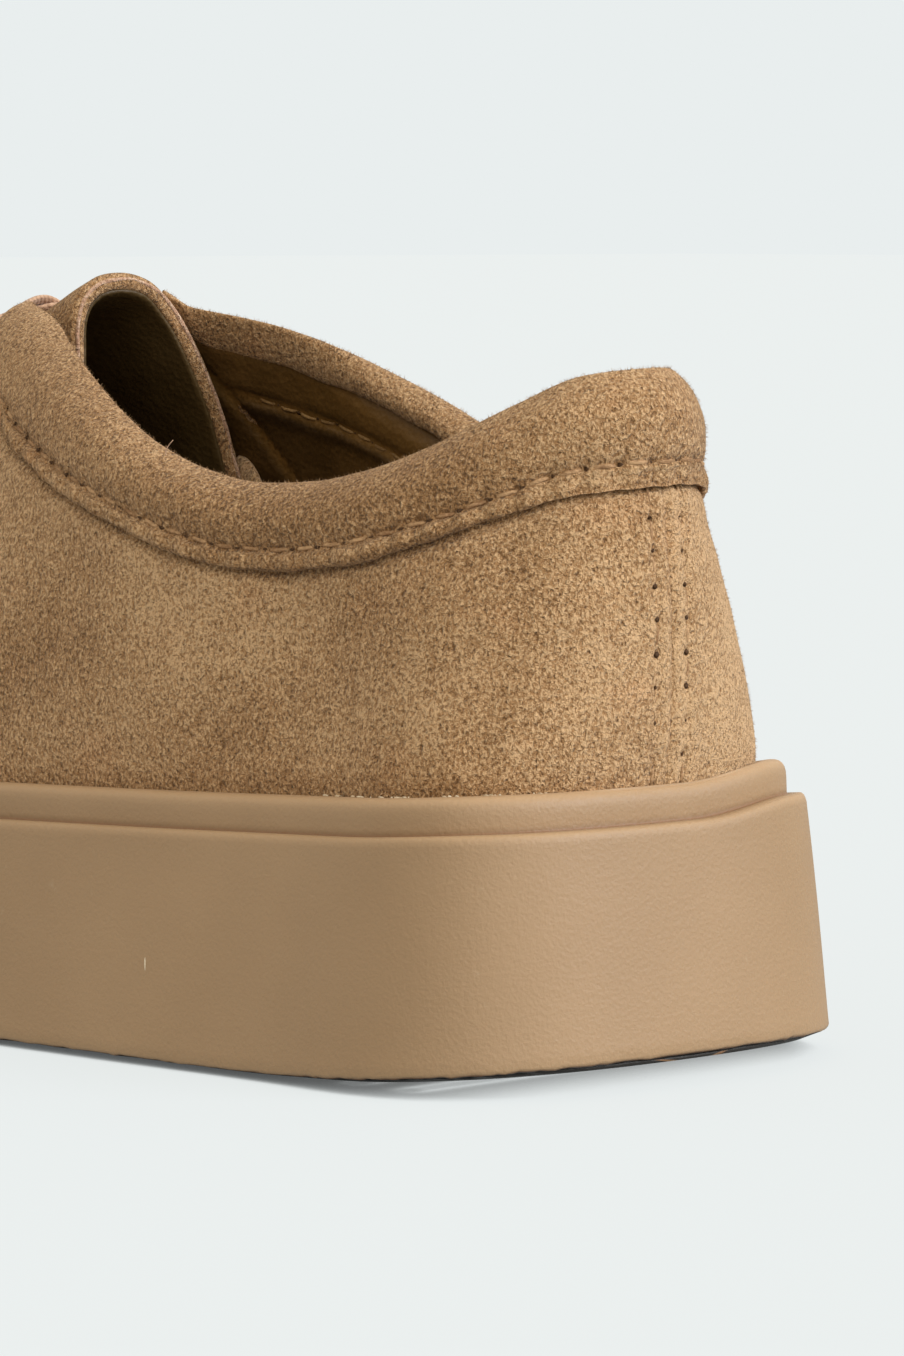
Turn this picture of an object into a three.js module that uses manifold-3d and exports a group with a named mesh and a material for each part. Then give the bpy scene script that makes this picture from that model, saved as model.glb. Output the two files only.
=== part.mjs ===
// Left derby shoe, low, with a thick flared rubber cupsole.
// Millimetres, +Z up. Inside the functions a point is (s, w, z): s runs from the
// heel's back towards the toe, w is positive to the outer (lateral) side, z is
// the height above the floor. Out of them X = w, Y = -s, so the toe points to -Y,
// and the finished group is moved so that the origin is under the box's middle.
import * as THREE from "three";
import { mergeVertices } from "three/addons/utils/BufferGeometryUtils.js";
import Module from "manifold-3d";

const wasm = await Module();
wasm.setup();

// ---------------------------------------------------------------- sizes
const SOLE_LENGTH = 300;     // heel edge to toe edge at the floor
const HEEL_CAP = 33.8;       // how far the rounded heel end reaches forward
const HEEL_BLUNT = 2.755;    // squareness of the heel end in plan
const TOE_CAP = 88;          // length of the rounded toe end
const TOE_BLUNT = 2.4;
const TOE_SWING = -12;       // the toe's tip lies this far to the inner side
const WALL_FLARE = 4.1;      // the side wall leans out by this much, top to floor
const RIM_STEP = 5.8;        // rim strip's face, measured in from the floor edge
const STRIP = 4.7;           // height of the rim strip above the groove line
const EDGE_ROUND = 1.1;      // rounding of the floor edge
const JOINT_INSET = 9.9;     // where the upper meets the rim, in from the floor edge
const GAP = 0.3;             // clearance between pieces that touch
const WALL = 2.0;            // suede and its lining
const HEEL_CENTRE = -1.2;    // the back seam stands a little to the inner side
const CUP_FLOOR = 17;        // rubber under the foot at the heel
const CUP_FLOOR_FORE = 14.5;
const INSOLE = 5;
const FORM_TOE = SOLE_LENGTH - JOINT_INSET;   // end of the upper's outer form
const FORM_TOE_CAP = 80;
const FORM_BLUNT = 2.35;     // squareness of the upper's toe in plan
const TREAD_DEPTH = 1.6;

// plan of the sole at the floor, before its two rounded ends
const SOLE_PLAN = [
  { s: 0, lat: 40.8, med: 41.2 },
  { s: 34, lat: 41.0, med: 41.2 },
  { s: 70, lat: 44.3, med: 40.9 },
  { s: 110, lat: 48.0, med: 41.0 },
  { s: 150, lat: 51.8, med: 43.6 },
  { s: 190, lat: 54.6, med: 48.6 },
  { s: 215, lat: 54.4, med: 51.2 },
  { s: 245, lat: 52.6, med: 51.6 },
  { s: 275, lat: 50.5, med: 50.4 },
  { s: 300, lat: 49.0, med: 49.4 },
];
// side view of the sole: underside, and the rim's top
const SOLE_SIDE = [
  { s: 0, under: 3.3, rim: 38.7 },
  { s: 12, under: 2.2, rim: 38.3 },
  { s: 28, under: 0.9, rim: 37.3 },
  { s: 50, under: 0, rim: 36.35 },
  { s: 104, under: 0, rim: 34.6 },
  { s: 127, under: 0.9, rim: 33.8 },
  { s: 150, under: 0, rim: 33.0 },
  { s: 200, under: 0, rim: 31.6 },
  { s: 218, under: 0, rim: 31.6 },
  { s: 240, under: 1.3, rim: 32.4 },
  { s: 270, under: 5.0, rim: 35.2 },
  { s: 300, under: 10.5, rim: 40.0 },
];
// the heel's plan curve, level by level: where its back is, how far the curve
// reaches forward, how square it is and its half width
const HEEL_LEVELS = [
  { z: 0, back: 7.6, reach: 29.4, blunt: 2.66, half: 30.6 },
  { z: 38, back: 7.4, reach: 29.4, blunt: 2.66, half: 30.6 },
  { z: 46, back: 6.6, reach: 31.5, blunt: 2.55, half: 29.4 },
  { z: 59, back: 6.3, reach: 38, blunt: 2.3, half: 27.6 },
  { z: 67, back: 6.9, reach: 44, blunt: 2.15, half: 27.2 },
  { z: 75, back: 7.8, reach: 52, blunt: 2.05, half: 26.2 },
  { z: 85, back: 8.6, reach: 58, blunt: 2.0, half: 25.0 },
  { z: 100, back: 10.0, reach: 62, blunt: 2.0, half: 23.6 },
  { z: 130, back: 12.0, reach: 62, blunt: 2.0, half: 20.0 },
];
// cross-sections from behind the ankle to the toe: top of the form, centre line,
// and the two exponents of the arch
const SECTIONS = [
  { s: 40, top: 124, centre: -1.2, rise: 2.2, close: 2.1 },
  { s: 60, top: 121, centre: -0.9, rise: 2.3, close: 2.1 },
  { s: 80, top: 118, centre: -0.4, rise: 2.2, close: 2.05 },
  { s: 100, top: 112.3, centre: 0.4, rise: 1.95, close: 1.85 },
  { s: 118, top: 105.8, centre: 1.0, rise: 1.8, close: 1.75 },
  { s: 140, top: 95.3, centre: 0.3, rise: 1.85, close: 1.78 },
  { s: 160, top: 85.5, centre: -1.0, rise: 1.92, close: 1.85 },
  { s: 180, top: 76.0, centre: -2.6, rise: 2.0, close: 1.95 },
  { s: 200, top: 68.8, centre: -4.4, rise: 2.1, close: 2.05 },
  { s: 220, top: 64.6, centre: -6.2, rise: 2.2, close: 2.15 },
  { s: 245, top: 62.2, centre: -8.4, rise: 2.3, close: 2.2 },
  { s: 270, top: 61.5, centre: -10.4, rise: 2.3, close: 2.2 },
  { s: 300, top: 61.0, centre: -12.0, rise: 2.3, close: 2.2 },
];
// topline on the outer surface, outer and inner side, and the collar band's
// height measured down the surface
const TOPLINE = [
  { s: 6, lat: 93.4, med: 93.4, band: 14.8 },
  { s: 14, lat: 91.9, med: 92.2, band: 15.2 },
  { s: 21, lat: 88.4, med: 89.6, band: 15.2 },
  { s: 32, lat: 83.0, med: 85.6, band: 14.4 },
  { s: 42, lat: 79.4, med: 83.0, band: 13.2 },
  { s: 50, lat: 77.8, med: 81.9, band: 12.3 },
  { s: 58, lat: 77.4, med: 81.8, band: 12.0 },
  { s: 67, lat: 79.0, med: 83.4, band: 12.2 },
  { s: 76, lat: 82.0, med: 87.2, band: 12.8 },
  { s: 85, lat: 86.0, med: 91.0, band: 13.6 },
  { s: 95, lat: 90.9, med: 94.9, band: 14.4 },
  { s: 106, lat: 95.9, med: 97.9, band: 14.4 },
  { s: 112, lat: 98.4, med: 99.1, band: 13.8 },
  { s: 122, lat: 100.3, med: 101.1, band: 12.5 },
  { s: 140, lat: 104, med: 104, band: 12.5 },
];
const COLLAR_FRONT = 121;    // the band ends here, at the facing corners
// how thick the padded roll is on the inner side of the wall, along the collar
const COLLAR_PAD = [
  { s: 0, pad: 6.2 },
  { s: 60, pad: 6.0 },
  { s: 85, pad: 4.6 },
  { s: 106, pad: 1.6 },
  { s: 125, pad: 1.6 },
];
// the throat between the facings
const THROAT = [
  { s: 118, half: 14.2 },
  { s: 140, half: 12.2 },
  { s: 160, half: 9.8 },
  { s: 174, half: 7.6 },
  { s: 179, half: 5.2 },
  { s: 181, half: 2.0 },
];
const TONGUE = { rear: 115.8, front: 190, inset: WALL + GAP + 0.2, thick: 2.6, drop: 31 };
const LACE = { width: 6.2, thick: 1.3, lift: 0.6 };
// eyelet pairs, distance of each hole from the throat's edge
const EYELETS = [
  { s: 129, edge: 8 },
  { s: 143, edge: 8 },
  { s: 157, edge: 8 },
  { s: 170, edge: 8 },
];
const TREAD_BARS = [
  { from: 22, to: 94, pitch: 9 },
  { from: 158, to: 266, pitch: 9 },
];

// ---------------------------------------------------------------- curves
const clamp = (x, a, b) => Math.min(b, Math.max(a, x));
const smooth = (a, b, x) => { const t = clamp((x - a) / (b - a), 0, 1); return t * t * (3 - 2 * t); };

// a smooth curve without overshoot through one column of a table
function column(rows, xKey, yKey) {
  const x = rows.map((r) => r[xKey]), y = rows.map((r) => r[yKey]);
  const n = x.length, d = [], m = new Array(n);
  for (let i = 0; i < n - 1; i++) d.push((y[i + 1] - y[i]) / (x[i + 1] - x[i]));
  m[0] = d[0]; m[n - 1] = d[n - 2];
  for (let i = 1; i < n - 1; i++) {
    if (d[i - 1] * d[i] <= 0) m[i] = 0;
    else {
      const a = 2 * (x[i + 1] - x[i]) + (x[i] - x[i - 1]), b = (x[i + 1] - x[i]) + 2 * (x[i] - x[i - 1]);
      m[i] = (a + b) / (a / d[i - 1] + b / d[i]);
    }
  }
  return (v) => {
    if (v <= x[0]) return y[0];
    if (v >= x[n - 1]) return y[n - 1];
    let i = 0;
    while (v > x[i + 1]) i++;
    const h = x[i + 1] - x[i], t = (v - x[i]) / h, t2 = t * t, t3 = t2 * t;
    return (2 * t3 - 3 * t2 + 1) * y[i] + (t3 - 2 * t2 + t) * h * m[i]
      + (-2 * t3 + 3 * t2) * y[i + 1] + (t3 - t2) * h * m[i + 1];
  };
}
const soleLat = column(SOLE_PLAN, "s", "lat"), soleMed = column(SOLE_PLAN, "s", "med");
const underZ = column(SOLE_SIDE, "s", "under"), rimZ = column(SOLE_SIDE, "s", "rim");
const backAt = column(HEEL_LEVELS, "z", "back"), reachAt = column(HEEL_LEVELS, "z", "reach");
const bluntAt = column(HEEL_LEVELS, "z", "blunt"), halfAt = column(HEEL_LEVELS, "z", "half");
const topAt = column(SECTIONS, "s", "top"), centreAt = column(SECTIONS, "s", "centre");
const riseAt = column(SECTIONS, "s", "rise"), closeAt = column(SECTIONS, "s", "close");
const toplineLat = column(TOPLINE, "s", "lat"), toplineMed = column(TOPLINE, "s", "med");
const bandAt = column(TOPLINE, "s", "band"), padAt = column(COLLAR_PAD, "s", "pad");
const throatHalf = column(THROAT, "s", "half");

// quarter of a superellipse: 0 at x = 0, 1 at x = 1
const cap = (x, n) => { const q = 1 - clamp(x, 0, 1); return Math.pow(Math.max(0, 1 - Math.pow(q, n)), 1 / n); };
const cupFloor = (s) => underZ(clamp(s, 50, 300)) + CUP_FLOOR + (CUP_FLOOR_FORE - CUP_FLOOR) * smooth(90, 170, s);

// ---------------------------------------------------------------- sole plan
// one side of the sole's outline, from the heel's middle to the toe's tip
function soleSide(side, steps) {
  const pts = [];
  const heel = steps.heel, mid = steps.mid, toe = steps.toe;
  const put = (s, capHeel, capToe) => {
    const c = TOE_SWING * smooth(170, SOLE_LENGTH, s);
    const base = side > 0 ? soleLat(s) : soleMed(s);
    const wide = side > 0 ? base - c : base + c;
    pts.push([s, c + side * wide * capHeel * capToe]);
  };
  for (let i = 0; i < heel; i++) {
    const a = (i / heel) * Math.PI / 2;
    put(HEEL_CAP * (1 - Math.pow(Math.cos(a), 2 / HEEL_BLUNT)), Math.pow(Math.sin(a), 2 / HEEL_BLUNT), 1);
  }
  const s0 = HEEL_CAP, s1 = SOLE_LENGTH - TOE_CAP;
  for (let i = 0; i < mid; i++) put(s0 + (s1 - s0) * i / mid, 1, 1);
  for (let i = 0; i <= toe; i++) {
    const a = (i / toe) * Math.PI / 2;
    put(s1 + TOE_CAP * Math.pow(Math.sin(a), 2 / TOE_BLUNT), 1, Math.pow(Math.cos(a), 2 / TOE_BLUNT));
  }
  return pts;
}
// closed outline, outer side from heel to toe and inner side back again
function soleOutline(steps) {
  const lat = soleSide(1, steps), med = soleSide(-1, steps);
  return lat.concat(med.slice(1, -1).reverse());
}
// outline moved in by off, measured square to it
function inset(outline, off) {
  const n = outline.length;
  return outline.map((p, i) => {
    const a = outline[(i + n - 1) % n], b = outline[(i + 1) % n];
    const l = Math.hypot(b[0] - a[0], b[1] - a[1]);
    const t = [(b[0] - a[0]) / l, (b[1] - a[1]) / l];
    return [p[0] + t[1] * off, p[1] - t[0] * off];
  });
}

// ---------------------------------------------------------------- upper's form
const TOE_START = FORM_TOE - FORM_TOE_CAP;
const formCentre = (s) => (s < 40 ? HEEL_CENTRE : centreAt(s));
// half width of the form at station s and height z
function formHalf(s, z, side) {
  const back = backAt(z), reach = reachAt(z), half = halfAt(z);
  const x = (s - back) / reach;
  const heelW = (x < 1 ? half * cap(x, bluntAt(z)) : half) + 0.10 * Math.max(0, s - back - reach);
  const k = smooth(36, 84, s);
  if (k <= 0) return heelW;
  const c = formCentre(s), foot = rimZ(s);
  const base = side > 0 ? soleLat(s) - JOINT_INSET - c : soleMed(s) - JOINT_INSET + c;
  const zeta = clamp((z - foot) / (topAt(s) - foot), 0, 1);
  const arch = base * Math.pow(Math.max(0, 1 - Math.pow(zeta, riseAt(s))), 1 / closeAt(s));
  return heelW + (arch - heelW) * k;
}
// stations run along u: 0 to 1 fans out around the heel's back, 1 to 2 runs
// forward, 2 to 3 closes the toe
const FAN = 50;
const uOf = (s) => 1 + (s - FAN) / (TOE_START - FAN);
function station(u) {
  if (u <= 1) { const fan = 1 - Math.cos(u * Math.PI / 2); return { fan, s: 10 + 40 * fan, w: 1, h: 1 }; }
  if (u <= 2) return { s: FAN + (TOE_START - FAN) * (u - 1), w: 1, h: 1 };
  const a = Math.min(u - 2, 1) * Math.PI / 2, c = Math.max(0, Math.cos(a));
  return { s: TOE_START + FORM_TOE_CAP * Math.pow(Math.sin(a), 2 / FORM_BLUNT), w: u >= 3 ? 0 : Math.pow(c, 2 / FORM_BLUNT), h: u >= 3 ? 0 : Math.pow(c, 2 / 2.6) };
}
// around a section b runs from 1 at the outer foot over 0 at the crown to -1 at
// the inner foot; beyond 1 it goes 10 mm down into the cup for each whole step
const DOWN = 10;
function skin(u, b) {
  if (u < 0) return skin(-u, -b);
  const side = b >= 0 ? 1 : -1, k = Math.abs(b), st = station(u);
  const foot = rimZ(st.s), rise = Math.pow(Math.sin((1 - Math.min(k, 1)) * Math.PI / 2), 2 / riseAt(st.s));
  const full = foot + (topAt(st.s) - foot) * rise - Math.max(0, k - 1) * DOWN;
  const z = foot + (topAt(st.s) - foot) * rise * st.h - Math.max(0, k - 1) * DOWN;
  if (st.fan !== undefined) {
    const back = backAt(full), s = back + (FAN - back) * st.fan;
    return [s, HEEL_CENTRE + side * (st.fan === 0 ? 0 : formHalf(s, full, side)), z];
  }
  return [st.s, formCentre(st.s) + side * formHalf(st.s, full, side) * st.w, z];
}
// b of a height z on one side
function bOf(u, side, z) {
  const st = station(u), foot = rimZ(st.s);
  if (z <= foot) return side * (1 + (foot - z) / DOWN);
  const f = clamp((z - foot) / ((topAt(st.s) - foot) * st.h), 0, 1);
  return side * (1 - Math.asin(Math.pow(f, riseAt(st.s) / 2)) / (Math.PI / 2));
}
// outward normal of the form
function normal(u, b) {
  if (u >= 2.999) return [1, 0, 0];
  const e = 0.012, c = skin(u + e, b), d = skin(u - e, b), f = skin(u, b + 0.02), g = skin(u, b - 0.02);
  const p = c.map((v, i) => v - d[i]), q = f.map((v, i) => v - g[i]);
  const n = [p[1] * q[2] - p[2] * q[1], p[2] * q[0] - p[0] * q[2], p[0] * q[1] - p[1] * q[0]];
  const l = Math.hypot(...n) || 1, at = skin(u, b);
  const out = u < 0.05 ? -n[0] : Math.abs(b) < 0.05 ? n[2] : n[1] * Math.sign(b);
  const m = n.map((v) => v * Math.sign(out || 1) / l);
  if (u === 0) m[1] = 0;
  return m;
}
// the form's skin moved in by t, square to itself
function inner(u, b, t) {
  const p = skin(u, b);
  if (!t) return p;
  const n = normal(u, b);
  return p.map((v, i) => v - n[i] * t);
}
const STATIONS = [];
const FAN_STEPS = 9, TOE_STEPS = 9, ARCH_STEPS = 11;
for (let i = 0; i < FAN_STEPS; i++) STATIONS.push(i / FAN_STEPS);
[50, 60, 70, 79, 87, 94, 100, 105, 110, 115, 118, 121, 127, 134, 147, 160, 174, 189].forEach((s) => STATIONS.push(uOf(s)));
for (let i = 0; i <= TOE_STEPS; i++) STATIONS.push(2 + i / TOE_STEPS);

// ---------------------------------------------------------------- solids
const world = (p) => [p[1], -p[0], p[2]];
function solid(points, faces) {
  let g = new THREE.BufferGeometry();
  g.setAttribute("position", new THREE.Float32BufferAttribute(points.flatMap(world), 3));
  g.setIndex(faces.flat());
  g = mergeVertices(g, 1e-3);
  const idx = g.index.array, keep = [], pos = g.attributes.position.array;
  for (let i = 0; i < idx.length; i += 3)
    if (idx[i] !== idx[i + 1] && idx[i + 1] !== idx[i + 2] && idx[i] !== idx[i + 2]) keep.push(idx[i], idx[i + 1], idx[i + 2]);
  return new wasm.Manifold(new wasm.Mesh({ numProp: 3, vertProperties: new Float32Array(pos), triVerts: new Uint32Array(keep) }));
}
// closed skin through rings of equal length; the end rings are closed by a
// ladder between the ring's first and second half, or by a fan
function loft(rings, ends) {
  const points = rings.flat(), n = rings[0].length, faces = [];
  for (let r = 0; r < rings.length - 1; r++)
    for (let i = 0; i < n; i++) {
      const a = r * n + i, b = r * n + (i + 1) % n, c = a + n, d = b + n;
      faces.push([a, b, d], [a, d, c]);
    }
  const close = (base, flip) => {
    const quads = [];
    if (ends === "ladder") {
      const h = n / 2;                      // ring: 0 heel, h toe
      for (let i = 0; i < h; i++) {
        const a = i, b = i + 1, c = (n - i) % n, d = n - i - 1;
        quads.push([a, c, b], [b, c, d]);
      }
    } else for (let i = 1; i < n - 1; i++) quads.push([0, i + 1, i]);
    quads.forEach((q) => {
      if (new Set(q).size < 3) return;
      faces.push((flip ? [q[0], q[2], q[1]] : q).map((k) => base + k));
    });
  };
  close(0, false);
  close((rings.length - 1) * n, true);
  return outward(points, faces);
}
// orient a skin so that it encloses a positive volume
function outward(points, faces) {
  let v = 0;
  for (const [a, b, c] of faces) {
    const [p, q, r] = [points[a], points[b], points[c]].map(world);
    v += p[0] * (q[1] * r[2] - q[2] * r[1]) - p[1] * (q[0] * r[2] - q[2] * r[0]) + p[2] * (q[0] * r[1] - q[1] * r[0]);
  }
  return solid(points, v < 0 ? faces.map((f) => [f[0], f[2], f[1]]) : faces);
}

// the whole lasted form moved in by t, down to low(s)
function form(t, low) {
  const rings = STATIONS.map((u) => {
    const st = station(u), deep = 1 + (rimZ(st.s) - low(st.s)) / DOWN, ring = [];
    const bs = [deep, 1];
    for (let j = 1; j <= ARCH_STEPS; j++) bs.push(1 - j / ARCH_STEPS);
    bs.forEach((b) => ring.push(inner(u, b, t)));
    bs.slice(0, -1).reverse().forEach((b) => ring.push(inner(u, -b, t)));
    return ring;
  });
  return tube(rings, false);
}
// skin through rings that are themselves closed; the end rings are closed flat
// where they aren't already a line or a point
function tube(rings, ends) {
  const n = rings[0].length, points = rings.flat(), faces = [];
  for (let r = 0; r < rings.length - 1; r++)
    for (let i = 0; i < n; i++) {
      const a = r * n + i, b = r * n + (i + 1) % n, c = a + n, d = b + n;
      faces.push([a, b, d], [a, d, c]);
    }
  if (ends) {
    const h = n / 2;
    for (const [base, flip] of [[0, false], [(rings.length - 1) * n, true]])
      for (let i = 0; i < h - 1; i++) {
        const q = [base + i, base + i + 1, base + n - 2 - i, base + n - 1 - i];
        [[q[0], q[2], q[1]], [q[0], q[3], q[2]]].forEach((f) => faces.push(flip ? [f[0], f[2], f[1]] : f));
      }
  }
  return outward(points, faces);
}
// cutting body lofted along s through flat sections: the mouth and the throat
const blade = (rows) => loft(rows, "fan");

// walk down the form's skin from height z by a distance; returns b
function walk(u, side, z, dist) {
  let b = bOf(u, side, z), p = skin(u, b), left = dist;
  const step = side * 0.004;
  while (left > 0 && Math.abs(b) < 1) {
    const q = skin(u, b + step), l = Math.hypot(q[0] - p[0], q[1] - p[1], q[2] - p[2]);
    if (l >= left) return b + step * left / l;
    left -= l; p = q; b += step;
  }
  return b;
}

// ---------------------------------------------------------------- cupsole
const STEPS = { heel: 11, mid: 12, toe: 13 };
function cupsole() {
  const plan = soleOutline(STEPS);
  const groove = (s) => rimZ(s) - STRIP;
  const rows = [
    { off: EDGE_ROUND, z: (s) => underZ(s) },
    { off: 0.15, z: (s) => underZ(s) + EDGE_ROUND * 0.8 },
    { off: WALL_FLARE - 0.1, z: (s) => groove(s) - 0.9 },
    { off: WALL_FLARE + 0.5, z: groove },
    { off: RIM_STEP, z: (s) => groove(s) + 0.25 },
    { off: RIM_STEP + 0.25, z: (s) => rimZ(s) - 1.3 },
    { off: RIM_STEP + 1.1, z: (s) => rimZ(s) - 0.25 },
    { off: RIM_STEP + 2.0, z: rimZ },
  ];
  const rings = rows.map((r) => inset(plan, r.off).map(([s, w]) => [s, w, r.z(s)]));
  let body = loft(rings, "ladder");
  body = body.subtract(cupCavity());
  for (const run of TREAD_BARS)
    for (let s = run.from; s <= run.to; s += run.pitch) body = body.subtract(treadGroove(s));
  return body;
}
// the upper's outline where it stands in the cup, moved in by t
function cupLine(t, z) {
  const put = (u, side) => { const p = inner(u, side * 1.35, t); return [p[0], p[1], z(p[0])]; };
  const last = STATIONS.length - 1;
  return STATIONS.map((u) => put(u, 1)).concat(STATIONS.slice(1, last).map((u) => put(u, -1)).reverse());
}
// room in the cup for the upper and the foot
const cupCavity = () => loft([cupLine(-GAP - 0.06, cupFloor), cupLine(-GAP - 0.06, (s) => rimZ(s) + 6)], "ladder");

function treadGroove(s) {
  const half = (side) => (side > 0 ? soleLat(s) : soleMed(s));
  const c = TOE_SWING * smooth(170, SOLE_LENGTH, s);
  const x = s < HEEL_CAP ? cap(s / HEEL_CAP, HEEL_BLUNT) : cap((SOLE_LENGTH - s) / TOE_CAP, TOE_BLUNT);
  const lat = c + (half(1) - c) * x - 7, med = c - (half(-1) + c) * x + 7;
  const g = new THREE.BoxGeometry(lat - med, 2.2, TREAD_DEPTH * 2);
  g.translate((lat + med) / 2, -s, underZ(s));
  g.deleteAttribute("normal"); g.deleteAttribute("uv");
  const m = mergeVertices(g);
  return new wasm.Manifold(new wasm.Mesh({ numProp: 3, vertProperties: m.attributes.position.array, triVerts: new Uint32Array(m.index.array) }));
}

// ---------------------------------------------------------------- upper
const LAP = 5.0;             // how far the quarters reach up under the band
const SLOT = 8.2;            // and how deep the band's groove is for them
function upper() {
  const low = (s) => cupFloor(s) + GAP;
  const body = form(0, low).subtract(form(WALL, (s) => low(s) - 8));
  return body.subtract(mouth()).subtract(throat());
}
const lineZ = (side) => (side > 0 ? toplineLat : toplineMed);
// the topline's height on the form's skin, found at its own place
function topZ(u, side) {
  let z = 90;
  for (let k = 0; k < 8; k++) z = lineZ(side)(skin(u, bOf(u, side, z))[0]);
  return z;
}
// everything above the quarters' top edge, which ends inside the collar roll
function mouth() {
  const rows = [], put = (s, zl, zm) => rows.push([[s, 70, 150], [s, 70, zl], [s, 6, zl], [s, -8, zm], [s, -70, zm], [s, -70, 150]]);
  const cut = (u, side) => {
    const z = topZ(u, side), p0 = skin(u, bOf(u, side, z));
    return skin(u, walk(u, side, z, bandAt(p0[0]) - LAP));
  };
  const us = [];
  for (let i = 1; i <= 8; i++) us.push(i / 9);
  for (let s = 50; s < COLLAR_FRONT; s += 5) us.push(uOf(s));
  us.push(uOf(COLLAR_FRONT + 1.0));
  const heel = cut(0, 1);
  put(-10, heel[2], heel[2]);
  put(heel[0] + 0.5, heel[2], heel[2]);
  us.forEach((u) => { const l = cut(u, 1), m = cut(u, -1); put((l[0] + m[0]) / 2, l[2], m[2]); });
  return blade(rows);
}
// the open slot between the facings
function throat() {
  const rows = [];
  for (const s of [112, 118, 126, 134, 142, 150, 158, 166, 174, 177, 179, 180.3, 181]) {
    const h = throatHalf(s), c = formCentre(s);
    rows.push([[s, c + h, 58], [s, c - h, 58], [s, c - h, 150], [s, c + h, 150]]);
  }
  return blade(rows);
}

// ---------------------------------------------------------------- collar
// padded roll on the quarters' top edge, with a skirt that laps over them
function collar() {
  const us = STATIONS.filter((u) => u < uOf(COLLAR_FRONT - 2)).concat([uOf(COLLAR_FRONT)]);
  const path = us.slice(1).reverse().map((u) => [u, 1]).concat(us.map((u) => [u, -1]));
  const rings = path.map(([u, side]) => {
    const z = topZ(u, side), s = skin(u, bOf(u, side, z))[0];
    const b = bandAt(s), pad = padAt(s), slot = b - SLOT;
    return [
      [slot, GAP + 0.1], [b, GAP + 0.1], [b, 1.3], [b - 3.2, 1.35], [b * 0.55, 1.9],
      [b * 0.3, 1.0 + 0.03 * pad], [1.5, 0.5 - 0.18 * pad], [0, -0.42 * pad], [0.6, -0.75 * pad],
      [Math.min(2.4, slot * 0.6), -pad], [slot, -pad],
    ].map(([d, out]) => inner(u, walk(u, side, z, d), -out));
  });
  return loft(rings, "fan");
}

// ---------------------------------------------------------------- tongue
function tongue() {
  const list = [TONGUE.rear, 121, 127, 134, 147, 160, 174, TONGUE.front];
  const rings = list.map((s) => {
    const u = uOf(s), low = Math.max(topAt(s) - TONGUE.drop, rimZ(s) + 6);
    const arc = (t) => {
      const pts = [], bl = bOf(u, 1, low);
      for (let j = -12; j <= 12; j++) pts.push(inner(u, -bl * j / 12, t));
      return pts;
    };
    return arc(TONGUE.inset).concat(arc(TONGUE.inset + TONGUE.thick).reverse());
  });
  return tube(rings, true);
}

// ---------------------------------------------------------------- laces
// where a straight line across the throat meets the form's crown
function crownPoint(s, w, lift) {
  const c = formCentre(s), side = w >= c ? 1 : -1;
  let lo = rimZ(s), hi = topAt(s);
  for (let k = 0; k < 40; k++) {
    const m = (lo + hi) / 2;
    if (formHalf(s, m, side) > Math.abs(w - c)) lo = m; else hi = m;
  }
  return [s, w, hi + lift];
}
function strap(from, to) {
  const steps = 10, rings = [];
  const dir = [to[0] - from[0], to[1] - from[1]], l = Math.hypot(...dir);
  const across = [-dir[1] / l, dir[0] / l];
  for (let i = 0; i <= steps; i++) {
    const s = from[0] + dir[0] * i / steps, w = from[1] + dir[1] * i / steps;
    const ring = [[-1, 0], [1, 0], [1, 1], [-1, 1]].map(([a, b]) => {
      const q = crownPoint(s + across[0] * a * LACE.width / 2, w + across[1] * a * LACE.width / 2, 0);
      return [q[0], q[1], q[2] + LACE.lift + b * LACE.thick + 0.25];
    });
    rings.push(ring);
  }
  return loft(rings, "fan");
}
function laces() {
  const hole = (e, side) => [e.s, formCentre(e.s) + side * (throatHalf(e.s) + e.edge * 0.8)];
  const n = EYELETS.length;
  let body = strap(hole(EYELETS[n - 1], 1), hole(EYELETS[n - 1], -1));
  for (let i = n - 1; i > 0; i--) {
    body = body.add(strap(hole(EYELETS[i], 1), hole(EYELETS[i - 1], -1)));
    body = body.add(strap(hole(EYELETS[i], -1), hole(EYELETS[i - 1], 1)));
  }
  return body;
}

// ---------------------------------------------------------------- insole
const insole = () => loft([
  cupLine(WALL + GAP + 0.06, (s) => cupFloor(s) + GAP),
  cupLine(WALL + GAP + 0.06, (s) => cupFloor(s) + GAP + INSOLE),
], "ladder");

// ---------------------------------------------------------------- the shoe
const suede = () => new THREE.MeshStandardMaterial({ color: 0xa98a63, roughness: 0.95, metalness: 0 });
const rubber = () => new THREE.MeshStandardMaterial({ color: 0xa38763, roughness: 0.55, metalness: 0 });
const lining = () => new THREE.MeshStandardMaterial({ color: 0x7a6540, roughness: 0.7, metalness: 0 });
const cotton = () => new THREE.MeshStandardMaterial({ color: 0xb49a78, roughness: 0.9, metalness: 0 });

function mesh(name, body, material) {
  const m = body.getMesh();
  const g = new THREE.BufferGeometry();
  g.setAttribute("position", new THREE.BufferAttribute(new Float32Array(m.vertProperties), 3));
  g.setIndex(new THREE.BufferAttribute(new Uint32Array(m.triVerts), 1));
  const out = new THREE.Mesh(g, material);
  out.name = name;
  return out;
}

const shoe = new THREE.Group();
shoe.add(
  mesh("cupsole", cupsole(), rubber()),
  mesh("insole", insole(), lining()),
  mesh("upper", upper(), suede()),
  mesh("collar", collar(), suede()),
  mesh("tongue", tongue(), suede()),
  mesh("laces", laces(), cotton()),
);
const box = new THREE.Box3().setFromObject(shoe);
shoe.position.set(-(box.min.x + box.max.x) / 2, -(box.min.y + box.max.y) / 2, -box.min.z);

export default shoe;
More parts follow.
